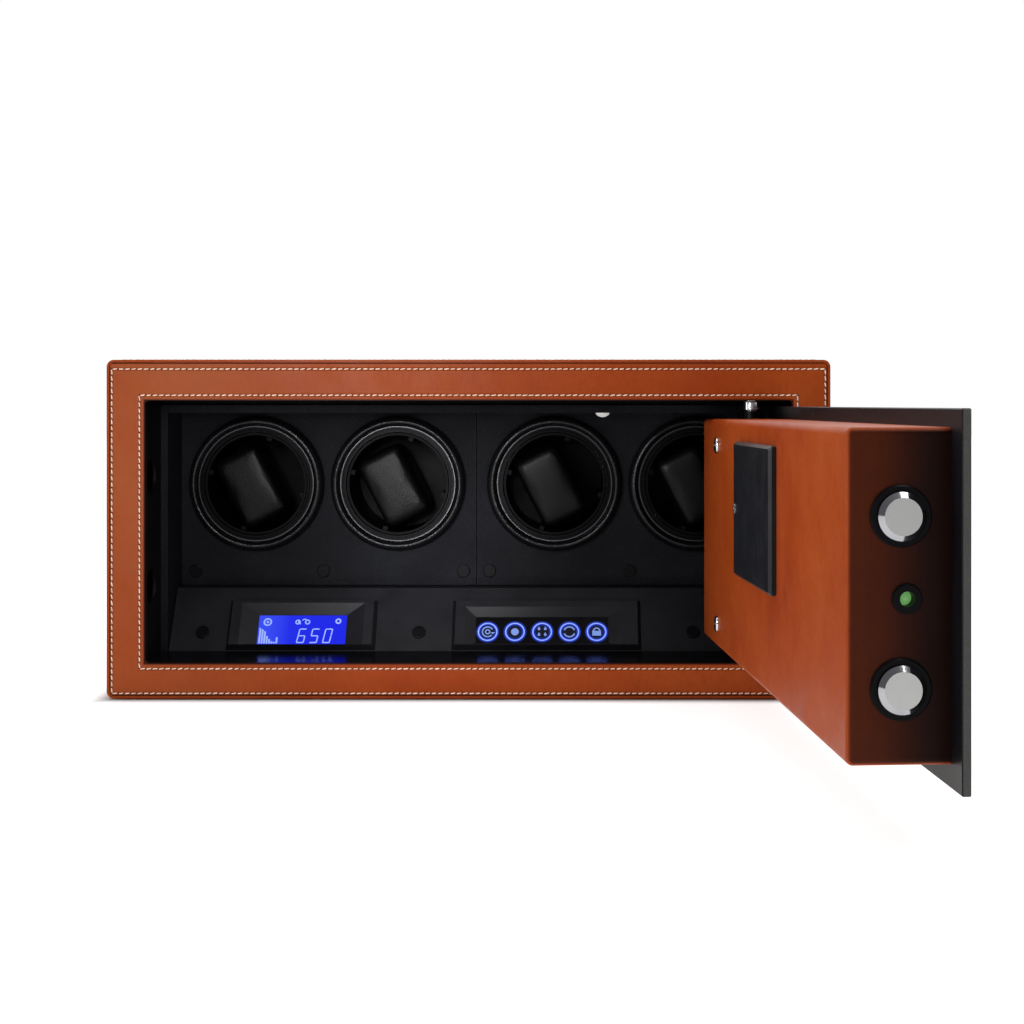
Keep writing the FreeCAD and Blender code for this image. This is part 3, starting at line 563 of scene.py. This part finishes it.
def thread(name):
    """Waxed cream thread, its plies twisted across the stitch."""
    material, tree, place = new_material(name, Sheen_Weight=0.3, Sheen_Roughness=0.4)
    twist = {"Vector": place, "Scale": 1100, "Distortion": 1.5}
    plies = add(tree, "TexWave", twist, bands_direction="DIAGONAL")
    dirt = noise(tree, place, 300, 3)
    cream = ramp(tree, dirt, (0.25, (0.80, 0.52, 0.36)), (0.6, (1.0, 0.76, 0.58)))
    plug(tree, Base_Color=cream, Normal=bump(tree, plies.outputs["Fac"], 0.08 * MM, 0.6),
         Roughness=remap(tree, dirt, 0.3, 0.7, 0.5, 0.7))
    return material


def circuit_board(name):
    """Green solder resist with paler tracks."""
    material, tree, place = new_material(name, Roughness=0.35)
    bricks = {"Vector": place, "Scale": 90.0, "Mortar Size": 0.03}
    tracks = add(tree, "TexBrick", bricks).outputs["Fac"]
    plug(tree, Base_Color=tint(tree, tracks, (0.010, 0.12, 0.045), (0.03, 0.24, 0.09)),
         Roughness=remap(tree, noise(tree, place, 200), 0.3, 0.7, 0.3, 0.45))
    return material


def door_normal(x, y, z):
    """A direction of the closed door, turned to where the door stands."""
    return SWING.to_3x3() @ Vector((x, y, z))


def outline_box(node, inset, top_inset=None):
    """A node's box drawn in by an inset in X and Z, for a seam that follows its edge."""
    low, high = corners(node)
    top = inset if top_inset is None else top_inset
    return low + Vector((inset, 0, inset)), high - Vector((inset, 0, top))


def seam_grooves():
    """Lines pressed into the front leather and darkened with painted shade: outline, width, depth, shade and
    colour.
    """
    shaded_groove = (0.13, 0.024, 0.007)
    gap_shade = (0.022, 0.006, 0.003)
    outer_row = outline_box("leather_front", OUTER_ROW_INSET, OUTER_ROW_TOP)
    return (
        (*outer_row, 1.4 * MM, 0.45 * MM, 0.5, shaded_groove),
        (*outline_box("leather_front", 0), 0.7 * MM, 0.35 * MM, 0.95, gap_shade),
        (*opening_outline(INNER_ROW_INSET), 1.4 * MM, 0.45 * MM, 0.45, shaded_groove),
        (*opening_outline(0), 1.5 * MM, 0.10 * MM, 1.0, gap_shade),
    )


def opening_outline(outset):
    """The hole in the front leather, from the faces that line it, pushed out by an outset."""
    mesh = NODES["leather_front"].data
    low, high = corners("leather_front")
    middle = (low + high) / 2
    hole_low = Vector()
    hole_high = Vector()
    for polygon in mesh.polygons:
        for axis in (0, 2):
            place = polygon.center[axis]
            if polygon.normal[axis] > 0.99 and place < middle[axis]:
                hole_low[axis] = place
            if polygon.normal[axis] < -0.99 and place > middle[axis]:
                hole_high[axis] = place
    push = Vector((outset, 0, outset))
    return hole_low - push, hole_high + push


def cad_materials():
    """A finished material for each material slot of the record, and one for the cushions."""
    looks = {
        "cognac_leather": cognac_leather("cognac_leather"),
        "door_black": plate_black("door_black", door_normal(0, 1, 0)),
        "lcd_blue": lcd_backlight("lcd_blue"),
        "circuit_board": circuit_board("circuit_board"),
    }
    tables = ((grained_black, GRAINED), (moulded, MOULDED), (metal, METALS), (glowing, LIT))
    for make, table in tables:
        looks.update({name: make(name, *values) for name, values in table.items()})
    return looks


def dress_cad(looks):
    """Gives each CAD node the finished material of its slot, or one made for that node alone."""
    slots = {part["node"]: part["material_slot"] for part in frame["record"]["subparts"]}
    for name, obj in NODES.items():
        obj.data.materials.clear()
        obj.data.materials.append(looks[slots[name]])
    end = door_normal(-1, 0, 0)
    special = {
        "leather_front": cognac_leather("front_leather", grooves=seam_grooves(), painted_sheen=True),
        "door_leather": cognac_leather("door_hide", painted_shade_side=(end, *door_depths())),
        "lock_bolts": bolt_chrome("bolt_chrome", end),
        "ring_collars": collar_black("collar_black"),
    }
    for name, material in special.items():
        NODES[name].data.materials[0] = material


def door_depths():
    """Places of the door box's front and back along the closed door's depth, as turned at rest."""
    inward = door_normal(0, 1, 0)
    values = [vertex.co.dot(inward) for vertex in NODES["door_leather"].data.vertices]
    return min(values), max(values)


# --------------------------------------------------------------------- pieces

def add_object(name, data):
    """A new object in the scene."""
    obj = bpy.data.objects.new(name, data)
    bpy.context.scene.collection.objects.link(obj)
    return obj


def make_object(name, bm, materials, matrix=None, smooth=True):
    """An object from a bmesh, with its materials, standing at a matrix."""
    mesh = bpy.data.meshes.new(name)
    bm.to_mesh(mesh)
    bm.free()
    for material in materials:
        mesh.materials.append(material)
    for polygon in mesh.polygons:
        polygon.use_smooth = smooth
    obj = add_object(name, mesh)
    if matrix is not None:
        obj.matrix_world = matrix
    return obj


def bead_template(rings=5, sides=8):
    """Points and faces of one stitch of unit size, long in X, its ends blunt as thread's are."""
    points = [Vector((-0.5, 0, 0))]
    for ring in range(1, rings + 1):
        angle = math.pi * ring / (rings + 1)
        reach = -math.cos(angle)
        blunt = math.copysign(abs(reach) ** STITCH_BLUNTNESS, reach) / 2
        for side in range(sides):
            turn = 2 * math.pi * side / sides
            radius = math.sin(angle) / 2
            points.append(Vector((blunt, radius * math.cos(turn), radius * math.sin(turn))))
    points.append(Vector((0.5, 0, 0)))
    last = len(points) - 1
    faces = []
    for side in range(sides):
        following = (side + 1) % sides
        faces.append((0, 1 + following, 1 + side))
        faces.append((last, last - sides + side, last - sides + following))
        for ring in range(rings - 1):
            low = 1 + ring * sides
            faces.append((low + side, low + following, low + sides + following, low + sides + side))
    return points, faces


BEAD_POINTS, BEAD_FACES = bead_template()


class Seam:
    """A mesh of many stitches, gathered row by row."""

    def __init__(self, name):
        self.name = name
        self.rng = random.Random(name)
        self.points = []
        self.faces = []
        self.finishes = []

    def stitch(self, matrix):
        """One stitch, a little uneven in length, width and lean."""
        length = STITCH_LENGTH * self.rng.uniform(0.9, 1.06)
        width = STITCH_WIDTH * self.rng.uniform(0.9, 1.08)
        lean = Matrix.Rotation(STITCH_SLANT + self.rng.uniform(-0.07, 0.07), 4, "Z")
        shape = Matrix.Diagonal((length, width, width * STITCH_FLATNESS, 1))
        self.bead(matrix @ lean @ shape, 0)
        # A dark bead halfway to the next stitch: painted shade at the needle hole.
        between = Matrix.Translation((STITCH_PITCH / 2, 0, 0))
        self.bead(matrix @ (between @ Matrix.Diagonal(NEEDLE_HOLE_SHADE)), 1)

    def bead(self, matrix, finish):
        """A bead shaped by a matrix, in thread or as the dark bead of painted shade at a needle hole."""
        first = len(self.points)
        self.points += [matrix @ point for point in BEAD_POINTS]
        self.faces += [tuple(first + index for index in face) for face in BEAD_FACES]
        self.finishes += [finish] * len(BEAD_FACES)

    def row(self, start, end, out):
        """Stitches from start to end on a surface that faces out."""
        run = end - start
        count = max(1, round(run.length / STITCH_PITCH))
        way = run.normalized()
        turn = Matrix((way, out.cross(way), out)).transposed().to_4x4()
        for index in range(count):
            place = start + run * ((index + 0.5) / count)
            self.stitch(Matrix.Translation(place) @ turn)

    def outline(self, low, high, y, out):
        """Four rows round an upright rectangle at y."""
        ends = ((low.x, high.z), (high.x, high.z), (high.x, low.z), (low.x, low.z))
        points = [Vector((x, y, z)) for x, z in ends]
        for index, start in enumerate(points):
            self.row(start, points[(index + 1) % 4], out)

    def finish(self, materials, body):
        """The piece itself, riding on a body."""
        mesh = bpy.data.meshes.new(self.name)
        mesh.from_pydata(self.points, [], self.faces)
        for material in materials:
            mesh.materials.append(material)
        mesh.polygons.foreach_set("material_index", self.finishes)
        mesh.polygons.foreach_set("use_smooth", [True] * len(mesh.polygons))
        piece = add_object(self.name, mesh)
        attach(piece, body)


def seams():
    """The cream seams of the front leather and the row along the roll at the top front edge."""
    # The second finish is the dark of the needle holes: painted shade.
    finishes = (thread("cream_thread"), moulded("needle_hole_shade", (0.09, 0.018, 0.006), 0.6, 0.1))
    face = corners("leather_front")[0].y
    outer = Seam("outer_seam")
    outline = outline_box("leather_front", OUTER_ROW_INSET, OUTER_ROW_TOP)
    outer.outline(*outline, face, FORWARD)
    outer.finish(finishes, "cabinet")
    inner = Seam("inner_seam")
    inner.outline(*opening_outline(INNER_ROW_INSET), face, FORWARD)
    inner.finish(finishes, "cabinet")
    low, high = corners("leather_wrap")
    level = high.z + ROLL_ROW_RISE
    depth = low.y + ROLL_ROW_DEPTH
    roll = Seam("roll_seam")
    start = Vector((low.x + ROLL_ROW_END, depth, level))
    end = Vector((high.x - ROLL_ROW_END, depth, level))
    roll.row(start, end, UP)
    roll.finish(finishes, "cabinet")


def lathe(profile):
    """A closed ring turned about Y from an outline of (radius, y) points."""
    bm = bmesh.new()
    rings = []
    for index in range(RING_STEPS):
        angle = 2 * math.pi * index / RING_STEPS
        x, z = math.cos(angle), math.sin(angle)
        rings.append([bm.verts.new((r * x, y, r * z)) for r, y in profile])
    count = len(profile)
    for index in range(RING_STEPS):
        this = rings[index]
        following = rings[(index + 1) % RING_STEPS]
        for k in range(count):
            after = (k + 1) % count
            bm.faces.new((this[k], this[after], following[after], following[k]))
    bmesh.ops.recalc_face_normals(bm, faces=bm.faces)
    return bm


def ring_pads(looks):
    """The four padded rings: leather drawn over a foam roll, tucked in at the panel."""
    low, high = corners("ring_pads")
    cups = [centre_of(f"cup_{number}") for number in range(1, 5)]
    outer = min(point.x for point in cups) - low.x
    inner = corners("ring_collars")[1].x - max(point.x for point in cups)
    depth = high.y - low.y
    crest = inner + RING_CREST * (outer - inner)
    profile = []
    for index in range(ROLL_STEPS + 1):
        angle = math.pi * index / ROLL_STEPS
        reach = (outer - crest) if angle < math.pi / 2 else (crest - inner)
        profile.append((crest + reach * math.cos(angle), high.y - depth * math.sin(angle)))
    rng = random.Random("rings")
    for number, place in enumerate(cups, 1):
        bm = lathe(profile)
        phases = [rng.uniform(0, 2 * math.pi) for _ in RING_WAVES]
        for vertex in bm.verts:
            turn = math.atan2(vertex.co.z, vertex.co.x)
            swell = sum(math.sin(turn * n + phase) for n, phase in zip(RING_WAVES, phases))
            vertex.co.y += RING_SWELL * swell * (high.y - vertex.co.y) / depth
        piece = make_object(f"ring_roll_{number}", bm, [looks["soft_black_leather"]],
                            Matrix.Translation(Vector((place.x, 0, place.z))))
        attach(piece, "cabinet")
        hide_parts("ring_pads")


def rounded_block(size):
    """A crowned block: a cube's grid drawn towards an ellipsoid, full in the middle."""
    bm = bmesh.new()
    bmesh.ops.create_cube(bm, size=2)
    bmesh.ops.subdivide_edges(bm, edges=bm.edges, cuts=CUSHION_CUTS, use_grid_fill=True)
    for vertex in bm.verts:
        norm = sum(abs(value) ** CUSHION_POWER for value in vertex.co) ** (1 / CUSHION_POWER)
        vertex.co = Vector([value * half / norm for value, half in zip(vertex.co, size)])
    return bm


def puff(obj):
    """Blows a closed cover up as stuffed leather: cloth under pressure, its travel capped."""
    remesh = obj.modifiers.new("even_mesh", "REMESH")
    remesh.mode = "VOXEL"
    remesh.voxel_size = COVER_CELL
    apply_modifiers(obj)
    rest = [vertex.co.copy() for vertex in obj.data.vertices]
    cloth = obj.modifiers.new("cover", "CLOTH")
    cloth.settings.use_pressure = True
    cloth.settings.uniform_pressure_force = COVER_PRESSURE
    cloth.settings.effector_weights.gravity = 0
    cloth.settings.tension_stiffness = COVER_TENSION
    scene = bpy.context.scene
    for number in range(1, COVER_FRAMES + 1):
        scene.frame_set(number)
    apply_modifiers(obj)
    scene.frame_set(1)
    for vertex, start in zip(obj.data.vertices, rest):
        move = vertex.co - start
        if move.length > COVER_TRAVEL:
            vertex.co = start + move.normalized() * COVER_TRAVEL


def apply_modifiers(obj):
    """Replaces an object's mesh with what its modifiers make of it."""
    graph = bpy.context.evaluated_depsgraph_get()
    evaluated = obj.evaluated_get(graph)
    mesh = bpy.data.meshes.new_from_object(evaluated, depsgraph=graph)
    obj.modifiers.clear()
    old = obj.data
    obj.data = mesh
    bpy.data.meshes.remove(old)


def cushions(looks):
    """The four watch cushions: one leather cover puffed up over its foam, used four times."""
    lean = Matrix.Rotation(-CUSHION_LEAN, 4, "Y")
    low, high = turned_box("cushion_1", lean.inverted())
    half = (high - low) / 2
    bm = rounded_block(half * CUSHION_START)
    model = make_object("cushion_model", bm, [looks["cushion_leather"]])
    puff(model)
    fit_inside(model, half)
    shape = model.data
    for polygon in shape.polygons:
        polygon.use_smooth = True
    for number in range(1, 5):
        piece = add_object(f"cushion_cover_{number}", shape.copy())
        piece.data.transform(Matrix.Translation(centre_of(f"cushion_{number}")) @ lean)
        smooth = piece.modifiers.new("smooth", "SUBSURF")
        smooth.levels = 1
        smooth.render_levels = 1
        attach(piece, f"cushion_{number}")
        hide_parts(f"cushion_{number}")
    bpy.data.objects.remove(model)


def fit_inside(obj, half):
    """Scales a mesh about its middle until it fills a half-size and no more."""
    reach = [max(abs(vertex.co[i]) for vertex in obj.data.vertices) for i in range(3)]
    for vertex in obj.data.vertices:
        vertex.co = Vector([vertex.co[i] * half[i] / reach[i] for i in range(3)])


# ------------------------------------------------------------ console symbols

def add_polygon(bm, points, height=0.0, index=0):
    """A flat polygon in a piece's own XY plane."""
    face = bm.faces.new([bm.verts.new((x, y, height)) for x, y in points])
    face.material_index = index
    return face


def add_annulus(bm, centre, inner, outer, start=0.0, sweep=360.0, index=0, height=0.0):
    """A flat ring, or an arc of one, about a centre."""
    steps = max(6, int(sweep / 7.5))
    closed = sweep >= 360
    loops = []
    for step in range(steps + (0 if closed else 1)):
        angle = math.radians(start + sweep * step / steps)
        way = Vector((math.cos(angle), math.sin(angle)))
        ends = [Vector(centre) + way * radius for radius in (inner, outer)]
        loops.append([bm.verts.new((*end, height)) for end in ends])
    for step in range(steps):
        this = loops[step]
        following = loops[(step + 1) % len(loops)]
        face = bm.faces.new((this[0], this[1], following[1], following[0]))
        face.material_index = index


def add_disc(bm, centre, radius, index=0, height=0.0, steps=40):
    """A flat disc about a centre."""
    points = []
    for step in range(steps):
        angle = 2 * math.pi * step / steps
        points.append((centre[0] + radius * math.cos(angle), centre[1] + radius * math.sin(angle)))
    add_polygon(bm, points, height, index)


SEGMENTS = {
    # Which of the seven strokes each digit lights: top, upper right, lower right, bottom,
    # lower left, upper left, middle.
    "0": "abcdef", "1": "bc", "2": "abged", "3": "abgcd", "4": "fgbc", "5": "afgcd",
    "6": "afgedc", "7": "abc", "8": "abcdefg", "9": "abcdfg",
}


def add_digit(bm, digit, centre, width, height, stroke, lean=0.0):
    """A seven-stroke digit, leaning to the right by a share of its height."""
    half_w = width / 2
    half_h = height / 2
    ends = {
        "a": ((-half_w, half_h), (half_w, half_h)),
        "b": ((half_w, half_h), (half_w, 0)),
        "c": ((half_w, 0), (half_w, -half_h)),
        "d": ((-half_w, -half_h), (half_w, -half_h)),
        "e": ((-half_w, 0), (-half_w, -half_h)),
        "f": ((-half_w, half_h), (-half_w, 0)),
        "g": ((-half_w, 0), (half_w, 0)),
    }
    for key in SEGMENTS[digit]:
        start, end = (Vector(point) for point in ends[key])
        along = (end - start).normalized()
        side = Vector((-along.y, along.x)) * stroke / 2
        start += along * stroke * 0.35
        end -= along * stroke * 0.35
        tips = start - along * stroke / 2, end + along * stroke / 2
        points = [tips[0], start - side, end - side, tips[1], end + side, start + side]
        leaning = [(centre[0] + point.x + point.y * lean, centre[1] + point.y) for point in points]
        add_polygon(bm, leaning)


def lcd_symbols():
    """What the display shows: a number, generic signs above it and a level gauge.

    Places and sizes are shares of the display's width and height.
    """
    plane, width, height = outer_plane("lcd_display")
    bm = bmesh.new()
    size = height * 0.46
    for index, digit in enumerate("650"):
        centre = (0.148 * index * width, -0.20 * height)
        add_digit(bm, digit, centre, size * 0.46, size, size * 0.085, 0.16)
    sign = (-0.40 * width, 0.27 * height)
    add_annulus(bm, sign, 0.085 * height, 0.135 * height)
    add_disc(bm, sign, 0.04 * height)
    for side, start in ((-1, 150), (1, 30)):
        ring = (side * 0.055 * width, 0.27 * height)
        add_annulus(bm, ring, 0.045 * height, 0.085 * height)
        arc = (side * 0.02 * width, 0.29 * height)
        add_annulus(bm, arc, 0.06 * height, 0.095 * height, start, 120)
    add_annulus(bm, (0.405 * width, 0.30 * height), 0.045 * height, 0.095 * height)
    bottom = -0.46 * height
    for index, share in enumerate((0.50, 0.46, 0.40, 0.24, 0.14, 0.07, 0.05, 0.20)):
        left = -0.485 * width + index * 0.028 * width
        right = left + 0.021 * width
        tops = bottom + share * height, bottom + share * height * 1.08
        add_polygon(bm, [(left, bottom), (right, bottom), (right, tops[0]), (left, tops[1])])
    light = glowing("lcd_strokes", (0.28, 0.40, 1.0), 1.0)
    lift = Matrix.Translation((0, 0, LCD_LIFT))
    piece = make_object("lcd_symbols", bm, [light], plane @ lift, smooth=False)
    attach(piece, "cabinet")


def icon_turn_back(bm, r):
    """An arrow that turns back on itself."""
    add_annulus(bm, (0, 0), r * 0.50, r * 0.64, 30, 290, **ICON)
    add_annulus(bm, (0, 0), r * 0.16, r * 0.30, **ICON)
    add_polygon(bm, [(r * 0.30, -r * 0.05), (r * 0.78, -r * 0.05), (r * 0.55, -r * 0.30)], **ICON)


def icon_stop(bm, r):
    """A solid disc."""
    add_disc(bm, (0, 0), r * 0.42, **ICON)


def icon_four(bm, r):
    """Four drops set in a square."""
    for x in (-1, 1):
        for y in (-1, 1):
            centre = Vector((x, y)) * r * 0.34
            add_disc(bm, centre, r * 0.15, steps=16, **ICON)
            left, right, tip = ((-0.13, 0.06), (0.13, 0.06), (0, 0.30))
            add_polygon(bm, [centre + r * Vector(point) for point in (left, right, tip)], **ICON)


def icon_cycle(bm, r):
    """Two arrows that chase each other round."""
    for start in (20, 200):
        add_annulus(bm, (0, 0), r * 0.50, r * 0.66, start, 140, **ICON)


def icon_lock(bm, r):
    """A padlock."""
    add_annulus(bm, (0, r * 0.10), r * 0.26, r * 0.42, 0, 180, **ICON)
    side, top, bottom = r * 0.48, r * 0.12, -r * 0.45
    add_polygon(bm, [(-side, top), (-side, bottom), (side, bottom), (side, top)], **ICON)


def touch_keys():
    """The five lit touch keys: a ring, its halo in the glass, and an icon."""
    plane, width, height = outer_plane("touch_glass")
    ring = 0.0695 * width
    halo = key_halo("key_halo", ring)
    ring_light = glowing("key_light", (0.26, 0.40, 1.0), 1.0)
    icon_light = glowing("key_icon_light", (0.17, 0.30, 0.80), 0.8)
    icons = (icon_turn_back, icon_stop, icon_four, icon_cycle, icon_lock)
    for index, icon in enumerate(icons):
        bm = bmesh.new()
        for inner, outer in ((0, ring * 0.3), (ring * 0.3, ring * 0.8), (ring * 0.8, ring * 1.28)):
            add_annulus(bm, (0, 0), inner + 0.001 * MM, outer)
        line = 0.36 * MM
        add_annulus(bm, (0, 0), ring - line, ring + line, index=2, height=ICON_LIFT)
        icon(bm, ring)
        place = Matrix.Translation(((index - 2) * 0.2053 * width, -0.06 * height, KEY_LIFT))
        materials = [halo, icon_light, ring_light]
        name = f"touch_key_{index + 1}"
        piece = make_object(name, bm, materials, plane @ place, smooth=False)
        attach(piece, "cabinet")


def keypad_marks():
    """Printed marks of the touch keypad outside the door: a ring for each key, and its digit."""
    low, high = turned_box("keypad_unit", SWING.inverted())
    width = high.x - low.x
    height = high.z - low.z
    front = low.y - 0.05 * MM
    turn = Matrix.Rotation(math.pi / 2, 4, "X")
    bm = bmesh.new()
    ring = 0.125 * width
    for index, digit in enumerate("123456789*0*"):
        column = index % 3 - 1
        row = 1.5 - index // 3
        centre = Vector((column * 0.29 * width, row * 0.225 * height))
        add_annulus(bm, centre, ring - 0.35 * MM, ring)
        if digit in SEGMENTS:
            add_digit(bm, digit, centre, ring * 0.62, ring * 1.12, ring * 0.16)
        else:
            add_disc(bm, centre, ring * 0.28)
    middle = Vector(((low.x + high.x) / 2, front, (low.z + high.z) / 2))
    light = glowing("keypad_print", (0.50, 0.62, 0.80), 0.6)
    place = SWING @ Matrix.Translation(middle) @ turn
    piece = make_object("keypad_marks", bm, [light], place, smooth=False)
    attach(piece, "door")


# ---------------------------------------------------------------------- stage

def make_camera():
    """The viewing angle: straight on from the front, framed off centre by the lens shift."""
    data = bpy.data.cameras.new("view_camera")
    data.lens = LENS
    data.sensor_width = 36
    data.shift_x, data.shift_y = SHIFT
    camera = add_object("view_camera", data)
    low, high = corners("leather_wrap")
    camera.location = ((low.x + high.x) / 2 + CAMERA_RIGHT, low.y - CAMERA_AHEAD, CAMERA_HEIGHT)
    camera.rotation_euler = (math.pi / 2, 0, 0)
    bpy.context.scene.camera = camera


def stand_light(data, place, aim):
    """Stands a light at a place and points it at another."""
    light = add_object(data.name, data)
    light.location = place
    light.rotation_euler = (Vector(aim) - Vector(place)).to_track_quat("-Z", "Y").to_euler()
    return light


def area_light(name, place, aim, size, power):
    """A rectangular soft box that the camera doesn't see."""
    data = bpy.data.lights.new(name, "AREA")
    data.shape = "RECTANGLE"
    data.size, data.size_y = size
    data.energy = power
    light = stand_light(data, place, aim)
    light.visible_camera = False
    light.visible_diffuse = name != GLOSS_ONLY


def make_floor():
    """A white floor under the box, which gives light of its own away from the box: the dimmer glow near the box is
    a painted contact shadow.
    """
    constants = {"Roughness": 0.9, "Specular_IOR_Level": 0.1, "Emission_Strength": FLOOR_GLOW}
    material, tree, place = new_material("studio_floor", **constants)
    paper = ramp(tree, noise(tree, place, 3), (0.3, (0.86, 0.86, 0.86)), (0.7, (0.89, 0.89, 0.89)))
    outside = distance_outside(tree, place, *corners("leather_wrap"), (0, 1))
    # The floor's glow fades out near the box: a painted contact shadow.
    beyond_painted_shadow = remap(tree, outside, FLOOR_SHADOW_FULL, FLOOR_SHADOW_END, 0, 1)
    glow = tint(tree, beyond_painted_shadow, (0.0, 0.0, 0.0), paper)
    plug(tree, Base_Color=tint(tree, 0.5, paper, (0.2, 0.2, 0.2)), Emission_Color=glow)
    bm = bmesh.new()
    bmesh.ops.create_grid(bm, x_segments=1, y_segments=1, size=8)
    floor = make_object("studio_floor", bm, [material])
    floor.location.z = CAD_BOX[0][2] - FLOOR_GAP


def make_world():
    """Even white surroundings, dimmer in front of the box than behind it."""
    world = bpy.data.worlds.new("studio")
    bpy.context.scene.world = world
    world.use_nodes = True
    tree = world.node_tree
    place = add(tree, "TexCoord").outputs["Generated"]
    parts = add(tree, "SeparateXYZ", {0: place})
    behind = remap(tree, parts.outputs["Y"], -0.6, 0.5, 0, 1)
    shade = ramp(tree, behind, (0.0, (0.17, 0.17, 0.18)), (1.0, (1.0, 1.0, 1.0)))
    tree.links.new(shade, tree.nodes["Background"].inputs["Color"])
    tree.nodes["Background"].inputs["Strength"].default_value = 1.0


def spot_light(name, place, aim, power, cone, radius):
    """A soft-edged spot that points at a place, its cone given in degrees."""
    data = bpy.data.lights.new(name, "SPOT")
    data.energy = power
    data.spot_size = math.radians(cone)
    data.spot_blend = 1.0
    data.shadow_soft_size = radius
    stand_light(data, place, aim)


def make_lights():
    """Soft boxes in front, at both sides, above and behind, and a spot into the opening."""
    for box in SOFT_BOXES:
        area_light(*box)
    spot_light("opening", (-0.04, -0.90, 0.20), (-0.035, -0.05, 0.08), 20, 12.5, 0.04)


looks = cad_materials()
dress_cad(looks)
seams()
ring_pads(looks)
cushions(looks)
lcd_symbols()
touch_keys()
keypad_marks()
make_floor()
make_world()
make_lights()
make_camera()
bpy.context.scene.view_settings.view_transform = "Standard"
